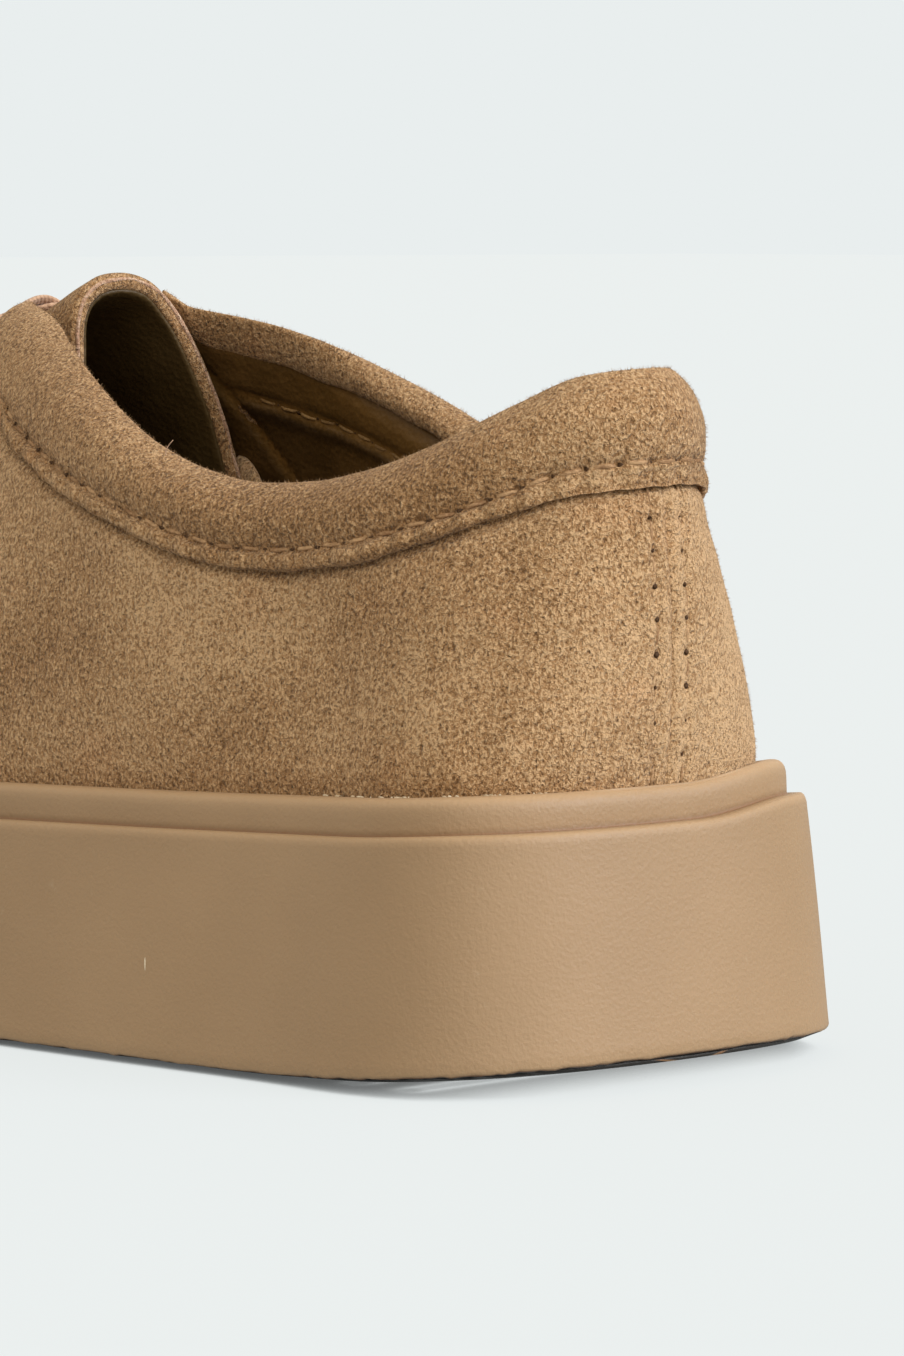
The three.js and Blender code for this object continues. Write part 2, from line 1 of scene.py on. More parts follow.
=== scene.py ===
import bpy
import json
import math
import numpy as np
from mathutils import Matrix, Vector


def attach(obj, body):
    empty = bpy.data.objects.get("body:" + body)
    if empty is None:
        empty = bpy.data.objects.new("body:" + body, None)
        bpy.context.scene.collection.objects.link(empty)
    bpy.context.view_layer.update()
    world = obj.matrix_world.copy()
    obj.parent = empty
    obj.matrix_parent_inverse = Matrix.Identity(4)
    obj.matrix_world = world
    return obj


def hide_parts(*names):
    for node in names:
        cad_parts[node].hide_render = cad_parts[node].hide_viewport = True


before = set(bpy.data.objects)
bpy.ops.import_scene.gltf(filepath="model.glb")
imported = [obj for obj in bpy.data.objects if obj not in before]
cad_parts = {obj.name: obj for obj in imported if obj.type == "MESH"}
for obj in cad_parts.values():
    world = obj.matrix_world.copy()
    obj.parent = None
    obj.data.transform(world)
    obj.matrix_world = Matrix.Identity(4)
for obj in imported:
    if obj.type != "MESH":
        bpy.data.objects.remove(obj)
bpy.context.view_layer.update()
BODY = "root"

# Inside this script a point is (s, w, z) in millimetres: s from the heel's back
# towards the toe, w positive to the outer side, z above the floor. In the row
# frame X = w + SHIFT_W and Y = SHIFT_S - s.
SHIFT_W, SHIFT_S = -1.70823, 150.0


def to_world(p):
    p = np.asarray(p, float)
    return np.stack([p[..., 1] + SHIFT_W, SHIFT_S - p[..., 0], p[..., 2]], -1) * 0.001


# ------------------------------------------------------------------ tables
SOLE_LENGTH, HEEL_CAP, HEEL_BLUNT, TOE_CAP, TOE_BLUNT, TOE_SWING = 300.0, 33.8, 2.755, 88.0, 2.4, -12.0
WALL_FLARE, RIM_STEP, STRIP, JOINT_INSET, GAP, WALL = 4.1, 5.8, 4.7, 9.9, 0.3, 2.0
HEEL_CENTRE, CUP_FLOOR, CUP_FLOOR_FORE, INSOLE = -1.2, 17.0, 14.5, 5.0
FORM_TOE, FORM_TOE_CAP, FORM_BLUNT, DOWN, FAN = 290.1, 80.0, 2.35, 10.0, 50.0
TOE_START = FORM_TOE - FORM_TOE_CAP
COLLAR_FRONT, LAP = 121.0, 5.0

SOLE_PLAN = np.array([  # s, outer, inner half width at the floor
    (0, 40.8, 41.2), (34, 41.0, 41.2), (70, 44.3, 40.9), (110, 48.0, 41.0), (150, 51.8, 43.6),
    (190, 54.6, 48.6), (215, 54.4, 51.2), (245, 52.6, 51.6), (275, 50.5, 50.4), (300, 49.0, 49.4)], float)
SOLE_SIDE = np.array([  # s, underside, rim
    (0, 3.3, 38.7), (12, 2.2, 38.3), (28, 0.9, 37.3), (50, 0, 36.35), (104, 0, 34.6), (127, 0.9, 33.8),
    (150, 0, 33.0), (200, 0, 31.6), (218, 0, 31.6), (240, 1.3, 32.4), (270, 5.0, 35.2), (300, 10.5, 40.0)], float)
HEEL_LEVELS = np.array([  # z, back, reach, blunt, half
    (0, 7.6, 29.4, 2.66, 30.6), (38, 7.4, 29.4, 2.66, 30.6), (46, 6.6, 31.5, 2.55, 29.4), (59, 6.3, 38, 2.3, 27.6),
    (67, 6.9, 44, 2.15, 27.2), (75, 7.8, 52, 2.05, 26.2), (85, 8.6, 58, 2.0, 25.0), (100, 10.0, 62, 2.0, 23.6),
    (130, 12.0, 62, 2.0, 20.0)], float)
SECTIONS = np.array([  # s, top, centre, rise, close
    (40, 124, -1.2, 2.2, 2.1), (60, 121, -0.9, 2.3, 2.1), (80, 118, -0.4, 2.2, 2.05), (100, 112.3, 0.4, 1.95, 1.85),
    (118, 105.8, 1.0, 1.8, 1.75), (140, 95.3, 0.3, 1.85, 1.78), (160, 85.5, -1.0, 1.92, 1.85),
    (180, 76.0, -2.6, 2.0, 1.95), (200, 68.8, -4.4, 2.1, 2.05), (220, 64.6, -6.2, 2.2, 2.15),
    (245, 62.2, -8.4, 2.3, 2.2), (270, 61.5, -10.4, 2.3, 2.2), (300, 61.0, -12.0, 2.3, 2.2)], float)
TOPLINE = np.array([  # s, outer, inner height, band
    (6, 93.4, 93.4, 14.8), (14, 91.9, 92.2, 15.2), (21, 88.4, 89.6, 15.2), (32, 83.0, 85.6, 14.4),
    (42, 79.4, 83.0, 13.2), (50, 77.8, 81.9, 12.3), (58, 77.4, 81.8, 12.0), (67, 79.0, 83.4, 12.2),
    (76, 82.0, 87.2, 12.8), (85, 86.0, 91.0, 13.6), (95, 90.9, 94.9, 14.4), (106, 95.9, 97.9, 14.4),
    (112, 98.4, 99.1, 13.8), (122, 100.3, 101.1, 12.5), (140, 104, 104, 12.5)], float)
COLLAR_PAD = np.array([(0, 6.2), (60, 6.0), (85, 4.6), (106, 1.6), (125, 1.6)], float)
THROAT = np.array([(118, 14.2), (140, 12.2), (160, 9.8), (174, 7.6), (179, 5.2), (181, 2.0)], float)
EYELETS = np.array([(129, 8), (143, 8), (157, 8), (170, 8)], float)


# ------------------------------------------------------------------ curves
def column(rows, k):
    x, y = rows[:, 0], rows[:, k]
    h = np.diff(x)
    d = np.diff(y) / h
    m = np.zeros(len(x))
    m[0], m[-1] = d[0], d[-1]
    for i in range(1, len(x) - 1):
        if d[i - 1] * d[i] > 0:
            a, b = 2 * h[i] + h[i - 1], h[i] + 2 * h[i - 1]
            m[i] = (a + b) / (a / d[i - 1] + b / d[i])

    def at(v):
        v = np.clip(np.asarray(v, float), x[0], x[-1])
        i = np.clip(np.searchsorted(x, v, side="right") - 1, 0, len(h) - 1)
        t = (v - x[i]) / h[i]
        t2, t3 = t * t, t * t * t
        return ((2 * t3 - 3 * t2 + 1) * y[i] + (t3 - 2 * t2 + t) * h[i] * m[i]
                + (-2 * t3 + 3 * t2) * y[i + 1] + (t3 - t2) * h[i] * m[i + 1])
    return at


sole_lat, sole_med = column(SOLE_PLAN, 1), column(SOLE_PLAN, 2)
under_z, rim_z = column(SOLE_SIDE, 1), column(SOLE_SIDE, 2)
back_at, reach_at, blunt_at, half_at = [column(HEEL_LEVELS, k) for k in (1, 2, 3, 4)]
top_at, centre_at, rise_at, close_at = [column(SECTIONS, k) for k in (1, 2, 3, 4)]
topline_lat, topline_med, band_at = [column(TOPLINE, k) for k in (1, 2, 3)]
pad_at, throat_half = column(COLLAR_PAD, 1), column(THROAT, 1)


def smooth(a, b, x):
    t = np.clip((np.asarray(x, float) - a) / (b - a), 0, 1)
    return t * t * (3 - 2 * t)


def bump(x, width):
    return np.exp(-(np.asarray(x, float) / width) ** 2)


def cap(x, n):
    q = 1 - np.clip(x, 0, 1)
    return np.maximum(0, 1 - q ** n) ** (1 / n)


def cup_floor(s):
    return under_z(np.clip(s, 50, 300)) + CUP_FLOOR + (CUP_FLOOR_FORE - CUP_FLOOR) * smooth(90, 170, s)


def form_centre(s):
    return np.where(np.asarray(s) < 40, HEEL_CENTRE, centre_at(s))


def form_half(s, z, side):
    back, reach, half = back_at(z), reach_at(z), half_at(z)
    x = (s - back) / reach
    heel = np.where(x < 1, half * cap(x, blunt_at(z)), half) + 0.10 * np.maximum(0, s - back - reach)
    k = smooth(36, 84, s)
    c, foot = form_centre(s), rim_z(s)
    base = np.where(side > 0, sole_lat(s) - JOINT_INSET - c, sole_med(s) - JOINT_INSET + c)
    zeta = np.clip((z - foot) / (top_at(s) - foot), 0, 1)
    arch = base * np.maximum(0, 1 - zeta ** rise_at(s)) ** (1 / close_at(s))
    return heel + (arch - heel) * k


def u_of(s):
    return 1 + (np.asarray(s, float) - FAN) / (TOE_START - FAN)


def station(u):
    u = np.asarray(u, float)
    fan = 1 - np.cos(np.clip(u, 0, 1) * np.pi / 2)
    a = np.clip(u - 2, 0, 1) * np.pi / 2
    c = np.where(u >= 3, 0, np.maximum(0, np.cos(a)))
    s = np.where(u <= 1, 10 + 40 * fan,
                 np.where(u <= 2, FAN + (TOE_START - FAN) * (u - 1), TOE_START + FORM_TOE_CAP * np.sin(a) ** (2 / FORM_BLUNT)))
    w = np.where(u > 2, c ** (2 / FORM_BLUNT), 1.0)
    h = np.where(u > 2, c ** (2 / 2.6), 1.0)
    return s, w, h, fan, u <= 1


def skin(u, b):
    u, b = np.broadcast_arrays(np.asarray(u, float), np.asarray(b, float))
    b = np.where(u < 0, -b, b)
    u = np.abs(u)
    side, k = np.where(b >= 0, 1.0, -1.0), np.abs(b)
    s0, wf, hf, fan, heel = station(u)
    foot, top = rim_z(s0), top_at(s0)
    rise = np.sin((1 - np.minimum(k, 1)) * np.pi / 2) ** (2 / rise_at(s0))
    down = np.maximum(0, k - 1) * DOWN
    full = foot + (top - foot) * rise - down
    z = foot + (top - foot) * rise * hf - down
    back = back_at(full)
    s = np.where(heel, back + (FAN - back) * fan, s0)
    half = form_half(s, full, side) * wf
    w = np.where(heel, HEEL_CENTRE, form_centre(s0)) + side * np.where(heel & (fan <= 0), 0, half)
    return np.stack([s, w, z], -1)


def b_of(u, side, z):
    s0, wf, hf, fan, heel = station(u)
    foot = rim_z(s0)
    f = np.clip((z - foot) / np.maximum((top_at(s0) - foot) * hf, 1e-9), 0, 1)
    k = 1 - np.arcsin(f ** (rise_at(s0) / 2)) / (np.pi / 2)
    return side * np.where(z <= foot, 1 + (foot - z) / DOWN, k)


def unit(v):
    return v / np.maximum(np.linalg.norm(v, axis=-1, keepdims=True), 1e-12)


def normal(u, b):
    u, b = np.broadcast_arrays(np.asarray(u, float), np.asarray(b, float))
    n = unit(np.cross(skin(u + 0.010, b) - skin(u - 0.010, b), skin(u, b + 0.02) - skin(u, b - 0.02)))
    out = np.where(u < 0.05, -n[..., 0], np.where(np.abs(b) < 0.05, n[..., 2], n[..., 1] * np.sign(b)))
    n = n * np.where(out < 0, -1.0, 1.0)[..., None]
    n = np.where((u == 0)[..., None], n * np.array([1, 0, 1.0]), n)
    n = np.where((u >= 2.985)[..., None], np.array([1.0, 0, 0]), n)
    return unit(n)


def inner(u, b, t):
    return skin(u, b) - normal(u, b) * np.asarray(t, float)[..., None]


def top_z(u, side):
    z = np.full(np.shape(u), 90.0)
    line = topline_lat if side > 0 else topline_med
    for _ in range(10):
        z = line(skin(u, b_of(u, side, z))[..., 0])
    return z


class Down:
    """distances measured down the skin from the topline, for a row of stations"""

    def __init__(self, u, side):
        self.u, self.side = np.asarray(u, float), side
        z = top_z(self.u, side)
        # past the facing's corner the edge runs down into the throat
        s0 = station(self.u)[0]
        throat = skin(self.u, side * throat_k(np.maximum(s0, 118), side))[:, 2]
        z = np.where(s0 > 118, np.minimum(z, throat + 8 * smooth(121.5, 118, s0)), z)
        self.z = z
        k0 = np.abs(b_of(self.u, side, z))
        self.s = skin(self.u, side * k0)[:, 0]
        t = np.linspace(0, 1, 260)
        self.k = k0[:, None] + (2.95 - k0[:, None]) * t
        p = skin(self.u[:, None] + 0 * self.k, side * self.k)
        step = np.linalg.norm(np.diff(p, axis=1), axis=-1)
        self.arc = np.concatenate([np.zeros((len(u), 1)), np.cumsum(step, 1)], 1)

    def b(self, d):
        d = np.asarray(d, float)
        return self.side * np.stack([np.interp(d[i], self.arc[i], self.k[i]) for i in range(len(self.u))])


def throat_k(s, side, extra=0.0):
    """k where the form's half width equals the throat's"""
    s = np.asarray(s, float)
    lo, hi = rim_z(s), top_at(s)
    target = throat_half(s) + extra
    for _ in range(46):
        m = (lo + hi) / 2
        wide = form_half(s, m, float(side)) > target
        lo, hi = np.where(wide, m, lo), np.where(wide, hi, m)
    return np.abs(b_of(u_of(s), side, (lo + hi) / 2))


class Waves:
    """smooth seeded noise, about -1 to 1"""

    def __init__(self, seed, length, n=30):
        r = np.random.RandomState(seed)
        self.k = unit(r.normal(size=(n, 3))) * (2 * np.pi / (length * r.uniform(0.7, 1.6, n)))[:, None]
        self.ph = r.uniform(0, 2 * np.pi, n)
        self.n = n

    def __call__(self, p):
        q = np.asarray(p, float)
        return np.sin(q @ self.k.T + self.ph).sum(-1) / math.sqrt(self.n / 2) * 0.5


def even(points, first, step):
    """parameters 0..1 of a polyline at even arc steps: first list of (until, step), then step"""
    arc = np.concatenate([[0], np.cumsum(np.linalg.norm(np.diff(points, axis=0), axis=1))])
    marks, at = [0.0], 0.0
    while at < arc[-1] - step * 0.5:
        st = next((x for until, x in first if at < until), step)
        at = min(at + st, arc[-1])
        marks.append(at)
    if marks[-1] < arc[-1]:
        marks.append(arc[-1])
    return np.array(marks), arc


# ------------------------------------------------------------------ meshes
TRIANGLES = {}


def clean(V, F):
    key = np.round(V / 2e-3).astype(np.int64)
    _, idx, inv = np.unique(key, axis=0, return_index=True, return_inverse=True)
    inv = inv.reshape(-1)
    faces, keep_mat = [], []
    for n, f in enumerate(F):
        g = []
        for i in f:
            j = int(inv[i])
            if not g or g[-1] != j:
                g.append(j)
        if len(g) > 1 and g[0] == g[-1]:
            g.pop()
        if len(g) >= 3 and len(set(g)) == len(g):
            faces.append(g)
            keep_mat.append(n)
    return idx, faces, keep_mat


def build(name, V, F, material, tone=None, extra=None, flip=None, body=BODY, faces_material=None):
    """a closed mesh from points (s, w, z) in mm; tone is a number a point for the material"""
    V = np.asarray(V, float).reshape(-1, 3)
    idx, faces, kept = clean(V, F)
    P = to_world(V[idx])
    tri = [(f[0], f[i], f[i + 1]) for f in faces for i in range(1, len(f) - 1)]
    T = np.array(tri)
    vol = np.einsum("ij,ij->i", P[T[:, 0]], np.cross(P[T[:, 1]], P[T[:, 2]])).sum()
    if (vol < 0) if flip is None else flip:
        faces = [f[::-1] for f in faces]
    me = bpy.data.meshes.new(name)
    me.from_pydata(P.tolist(), [], faces)
    me.update()
    me.polygons.foreach_set("use_smooth", np.ones(len(me.polygons), bool))
    for key, val in (("tone", tone), *((extra or {}).items())):
        if val is not None:
            a = me.attributes.new(key, "FLOAT", "POINT")
            a.data.foreach_set("value", np.asarray(val, float).reshape(-1)[idx].astype(np.float32))
    mats = material if isinstance(material, (list, tuple)) else [material]
    for m in mats:
        me.materials.append(m)
    if faces_material is not None:
        fm = np.asarray(faces_material)[kept]
        me.polygons.foreach_set("material_index", fm.astype(np.int32))
    ob = bpy.data.objects.new(name, me)
    bpy.context.scene.collection.objects.link(ob)
    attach(ob, body)
    TRIANGLES[name] = len(tri)
    return ob


def quads(m, n, base=0, wrap=False, flip=False):
    i, j = np.meshgrid(np.arange(m if wrap else m - 1), np.arange(n - 1), indexing="ij")
    a = i * n + j
    b = ((i + 1) % m) * n + j
    f = np.stack([a, b, b + 1, a + 1], -1).reshape(-1, 4) + base
    return f[:, ::-1] if flip else f


def shell(O, I, bulge=0.5, steps=3):
    """closed solid between an outer and an inner grid, with a rounded edge all round"""
    m, n = O.shape[:2]
    V = [O.reshape(-1, 3), I.reshape(-1, 3)]
    F = [quads(m, n), quads(m, n, base=m * n, flip=True)]
    loop = ([(i, 0) for i in range(m)] + [(m - 1, j) for j in range(1, n)]
            + [(i, n - 1) for i in range(m - 2, -1, -1)] + [(0, j) for j in range(n - 2, 0, -1)])
    near = [(min(max(i, 1), m - 2), min(max(j, 1), n - 2)) for i, j in loop]
    li = np.array([i * n + j for i, j in loop])
    o = O.reshape(-1, 3)[li]
    q = I.reshape(-1, 3)[li]
    out = unit(o - O.reshape(-1, 3)[np.array([i * n + j for i, j in near])])
    thick = np.linalg.norm(o - q, axis=1)[:, None]
    rings, base = [li], 2 * m * n
    for k in range(1, steps + 1):
        a = np.pi * k / (steps + 1)
        V.append((o + q) / 2 + (o - q) / 2 * math.cos(a) + out * thick * bulge * math.sin(a))
        rings.append(base + np.arange(len(li)))
        base += len(li)
    rings.append(li + m * n)
    for r0, r1 in zip(rings[:-1], rings[1:]):
        F.append(np.stack([r0, r1, np.roll(r1, -1), np.roll(r0, -1)], -1))
    return np.concatenate(V), [list(map(int, f)) for f in np.concatenate(F)]


def shell_values(value, m, n, count):
    """values for shell()'s points from a grid of values"""
    v = np.asarray(value, float).reshape(m, n)
    loop = ([(i, 0) for i in range(m)] + [(m - 1, j) for j in range(1, n)]
            + [(i, n - 1) for i in range(m - 2, -1, -1)] + [(0, j) for j in range(n - 2, 0, -1)])
    rim = np.array([v[i, j] for i, j in loop])
    out = np.concatenate([v.reshape(-1), v.reshape(-1)])
    rest = count - len(out)
    return np.concatenate([out, np.tile(rim, rest // len(rim))])


class Joined:
    """many small closed pieces in one mesh"""

    def __init__(self):
        self.V, self.F, self.n, self.tone = [], [], 0, []

    def add(self, V, F, tone=0.0):
        V = np.asarray(V, float).reshape(-1, 3)
        self.V.append(V)
        self.F.extend([[int(i) + self.n for i in f] for f in F])
        self.tone.append(np.full(len(V), tone))
        self.n += len(V)

    def tube(self, pts, radii, ups, flat=1.0, sides=8, tone=0.0):
        """closed tube through pts; flat squeezes it along ups"""
        pts = np.asarray(pts, float)
        tan = unit(np.gradient(pts, axis=0))
        ups = unit(ups - tan * (ups * tan).sum(-1, keepdims=True))
        side = np.cross(tan, ups)
        a = np.arange(sides) * 2 * np.pi / sides
        r = np.asarray(radii, float)[:, None, None]
        ring = pts[:, None] + r * (side[:, None] * np.cos(a)[None, :, None] + flat * ups[:, None] * np.sin(a)[None, :, None])
        m = len(pts)
        V = np.concatenate([ring.reshape(-1, 3), pts[:1] - tan[:1] * radii[0] * 0.5, pts[-1:] + tan[-1:] * radii[-1] * 0.5])
        F = []
        for i in range(m - 1):
            for j in range(sides):
                p, q = i * sides + j, i * sides + (j + 1) % sides
                F.append([p, q, q + sides, p + sides])
        for j in range(sides):
            F.append([m * sides, (j + 1) % sides, j])
            F.append([m * sides + 1, (m - 1) * sides + j, (m - 1) * sides + (j + 1) % sides])
        self.add(V, F, tone)

    def disc(self, p, n, r, high, sides=8, tone=0.0):
        n = unit(n)
        a = unit(np.cross(n, [0.3, 0.2, 0.93]))
        b = np.cross(n, a)
        t = np.arange(sides) * 2 * np.pi / sides
        ring = p + r * (np.cos(t)[:, None] * a + np.sin(t)[:, None] * b)
        V = np.concatenate([ring, [p + n * high], [p - n * high * 1.5]])
        F = [[j, (j + 1) % sides, sides] for j in range(sides)] + [[(j + 1) % sides, j, sides + 1] for j in range(sides)]
        self.add(V, F, tone)


def resample(P, N, step, start=0.0):
    arc = np.concatenate([[0], np.cumsum(np.linalg.norm(np.diff(P, axis=0), axis=1))])
    n = max(1, int(round((arc[-1] - start) / step)))
    at = start + (arc[-1] - start) * np.arange(n + 1) / n
    return at, arc


def stitch_row(threads, holes, P, N, pitch, radius=0.30, gap=0.9, lift=0.06, start=0.0, seed=1, hole=0.42, jitter=0.12):
    """a row of short stitches along P, and between them dark discs as painted shade of the needle holes"""
    rnd = np.random.RandomState(seed)
    at, arc = resample(P, N, pitch, start)
    at = at + rnd.uniform(-jitter, jitter, len(at))

    def place(x):
        x = np.clip(x, 0, arc[-1])
        return (np.stack([np.interp(x, arc, P[:, k]) for k in range(3)], -1),
                unit(np.stack([np.interp(x, arc, N[:, k]) for k in range(3)], -1)))
    for a, b in zip(at[:-1], at[1:]):
        x = np.linspace(a + gap * 0.42, b - gap * 0.42, 7)
        p, n = place(x)
        t = np.linspace(-1, 1, 7)
        rise = lift + radius * 0.55 - (np.abs(t) ** 3.2) * (radius * 1.25)
        side = unit(np.cross(n, np.gradient(p, axis=0)))
        p = p + n * rise[:, None] + side * (rnd.uniform(-0.10, 0.10) + 0.16 * t[:, None] * rnd.choice([-1, 1]) * 0.5)
        threads.tube(p, radius * (1 - 0.35 * np.abs(t) ** 4), n, flat=0.72, sides=7, tone=rnd.uniform(-0.3, 0.5))
    for x in at:
        p, n = place(np.array([x]))
        holes.disc(p[0] + n[0] * 0.02, n[0], hole * rnd.uniform(0.75, 1.15), 0.10, tone=0)
    return at, arc


# ------------------------------------------------------------------ materials
def nodes_of(name):
    m = bpy.data.materials.new(name)
    m.use_nodes = True
    nt = m.node_tree
    nt.nodes.clear()
    out = nt.nodes.new("ShaderNodeOutputMaterial")
    sh = nt.nodes.new("ShaderNodeBsdfPrincipled")
    nt.links.new(sh.outputs[0], out.inputs["Surface"])
    co = nt.nodes.new("ShaderNodeTexCoord").outputs["Object"]
    return m, nt, sh, co


def noise(nt, co, scale, detail=2.0, rough=0.5, stretch=None, distortion=0.0, offset=(0, 0, 0)):
    if stretch or any(offset):
        mp = nt.nodes.new("ShaderNodeMapping")
        mp.inputs["Scale"].default_value = stretch or (1, 1, 1)
        mp.inputs["Location"].default_value = offset
        nt.links.new(co, mp.inputs["Vector"])
        co = mp.outputs[0]
    n = nt.nodes.new("ShaderNodeTexNoise")
    n.inputs["Scale"].default_value = scale
    n.inputs["Detail"].default_value = detail
    n.inputs["Roughness"].default_value = rough
    n.inputs["Distortion"].default_value = distortion
    nt.links.new(co, n.inputs["Vector"])
    return n.outputs["Fac"]


def cells(nt, co, scale, feature="F1", rnd=1.0):
    v = nt.nodes.new("ShaderNodeTexVoronoi")
    v.feature = feature
    v.inputs["Scale"].default_value = scale
    v.inputs["Randomness"].default_value = rnd
    nt.links.new(co, v.inputs["Vector"])
    return v.outputs["Distance"]


def calc(nt, op, a, b=None, c=None, clamp=False):
    n = nt.nodes.new("ShaderNodeMath")
    n.operation = op
    n.use_clamp = clamp
    for k, v in enumerate((a, b, c)):
        if v is None:
            continue
        if isinstance(v, (int, float)):
            n.inputs[k].default_value = v
        else:
            nt.links.new(v, n.inputs[k])
    return n.outputs[0]


def spread(nt, v, lo, hi, a=0.0, b=1.0):
    n = nt.nodes.new("ShaderNodeMapRange")
    n.interpolation_type = "SMOOTHSTEP"
    for k, x in (("From Min", lo), ("From Max", hi), ("To Min", a), ("To Max", b)):
        n.inputs[k].default_value = x
    nt.links.new(v, n.inputs["Value"])
    return n.outputs[0]


def mix(nt, fac, a, b, how="MIX"):
    n = nt.nodes.new("ShaderNodeMix")
    n.data_type = "RGBA"
    n.blend_type = how
    n.clamp_result = False
    n.inputs["Factor"].default_value = 0.5
    if isinstance(fac, (int, float)):
        n.inputs["Factor"].default_value = fac
    else:
        nt.links.new(fac, n.inputs["Factor"])
    for k, v in (("A", a), ("B", b)):
        s = [i for i in n.inputs if i.name == k and i.type == "RGBA"][0]
        if isinstance(v, tuple):
            s.default_value = (*v, 1.0)
        else:
            nt.links.new(v, s)
    return [o for o in n.outputs if o.type == "RGBA"][0]


def attribute(nt, name):
    n = nt.nodes.new("ShaderNodeAttribute")
    n.attribute_name = name
    return n.outputs["Fac"]


def bumps(nt, sh, layers):
    """layers of (height, depth in metres)"""
    last = None
    for height, depth in layers:
        b = nt.nodes.new("ShaderNodeBump")
        b.inputs["Strength"].default_value = 1.0
        b.inputs["Distance"].default_value = depth
        nt.links.new(height, b.inputs["Height"])
        if last is not None:
            nt.links.new(last, b.inputs["Normal"])
        last = b.outputs[0]
    nt.links.new(last, sh.inputs["Normal"])


def lin(r, g, b):
    f = lambda v: (v / 255 / 12.92) if v / 255 <= 0.04045 else ((v / 255 + 0.055) / 1.055) ** 2.4
    return (f(r), f(g), f(b))


def suede_material(name, deep, mid, light, nap=1.0, rough=0.93, sheen=0.26):
    m, nt, sh, co = nodes_of(name)
    fibre = noise(nt, co, 2350, 2.5, 0.7, stretch=(1.0, 1.0, 0.86), distortion=0.4)
    fleck = noise(nt, co, 1350, 2.0, 0.6, offset=(0.3, 0.1, 0.7), distortion=0.3)
    mott = noise(nt, co, 330, 2.5, 0.6)
    cloud = noise(nt, co, 75, 2.0, 0.55, distortion=0.6)
    broad = noise(nt, co, 24, 1.5, 0.5, offset=(0.11, 0.27, 0.4))
    tone = attribute(nt, "tone")
    f1 = calc(nt, "SUBTRACT", fibre, 0.5)
    f2 = calc(nt, "SUBTRACT", fleck, 0.5)
    f3 = calc(nt, "SUBTRACT", mott, 0.5)
    f4 = calc(nt, "SUBTRACT", cloud, 0.5)
    f5 = calc(nt, "SUBTRACT", broad, 0.5)
    v = calc(nt, "MULTIPLY", f1, 3.5 * nap)
    v = calc(nt, "MULTIPLY_ADD", f2, 1.0 * nap, v)
    v = calc(nt, "MULTIPLY_ADD", f3, 0.25, v)
    v = calc(nt, "MULTIPLY_ADD", f4, 0.42, v)
    v = calc(nt, "MULTIPLY_ADD", f5, 0.42, v)
    v = calc(nt, "MULTIPLY_ADD", tone, 0.5, v)
    v = calc(nt, "ADD", v, 0.5)
    dark = mix(nt, spread(nt, v, -0.05, 0.5), deep, mid)
    col = mix(nt, spread(nt, v, 0.5, 1.08), dark, light)
    ruddy = spread(nt, noise(nt, co, 95, 2.0, 0.5, offset=(0.5, 0.2, 0.9)), 0.55, 0.8, 0.0, 0.35)
    col = mix(nt, ruddy, col, mix(nt, 1.0, col, (1.10, 0.96, 0.90), "MULTIPLY"))
    nt.links.new(col, sh.inputs["Base Color"])
    sh.inputs["Roughness"].default_value = rough
    sh.inputs["Specular IOR Level"].default_value = 0.15
    sh.inputs["Sheen Weight"].default_value = sheen
    sh.inputs["Sheen Roughness"].default_value = 0.45
    sh.inputs["Sheen Tint"].default_value = (1.0, 0.86, 0.70, 1.0)
    bumps(nt, sh, [(mott, 0.0004), (fleck, 0.00062 * nap), (fibre, 0.00066 * nap)])
    return m


def rubber_material(name):
    m, nt, sh, co = nodes_of(name)
    grain = noise(nt, co, 2600, 2.0, 0.55)
    pebble = cells(nt, co, 1500)
    wave = noise(nt, co, 38, 2.0, 0.5)
    dust = noise(nt, co, 430, 4.0, 0.62, distortion=0.4)
    tone = attribute(nt, "tone")
    v = calc(nt, "MULTIPLY_ADD", calc(nt, "SUBTRACT", wave, 0.5), 0.30, 0.5)
    v = calc(nt, "MULTIPLY_ADD", calc(nt, "SUBTRACT", grain, 0.5), 0.10, v)
    v = calc(nt, "MULTIPLY_ADD", tone, 0.5, v)
    col = mix(nt, spread(nt, v, 0.0, 1.0), lin(140, 112, 80), lin(186, 154, 118))
    # where tone is low (painted shade in the groove and the cup) the colour turns darker and reddish
    ruddy = spread(nt, tone, -0.95, -0.25, 0.75, 0.0)
    col = mix(nt, ruddy, col, lin(132, 92, 60))
    # painted contact shadow along the cut lower edge, where tone is below -1.2
    col = mix(nt, spread(nt, tone, -2.0, -1.2, 1.0, 0.0), col, lin(40, 37, 33))
    scuff = spread(nt, dust, 0.66, 0.80, 0.0, 0.16)
    col = mix(nt, scuff, col, lin(206, 186, 158))
    nt.links.new(col, sh.inputs["Base Color"])
    r = spread(nt, grain, 0.2, 0.8, 0.44, 0.58)
    nt.links.new(r, sh.inputs["Roughness"])
    sh.inputs["Specular IOR Level"].default_value = 0.42
    sh.inputs["Subsurface Weight"].default_value = 0.05
    sh.inputs["Subsurface Radius"].default_value = (0.002, 0.0012, 0.0007)
    bumps(nt, sh, [(wave, 0.0004), (pebble, 0.00004), (grain, 0.00006)])
    return m


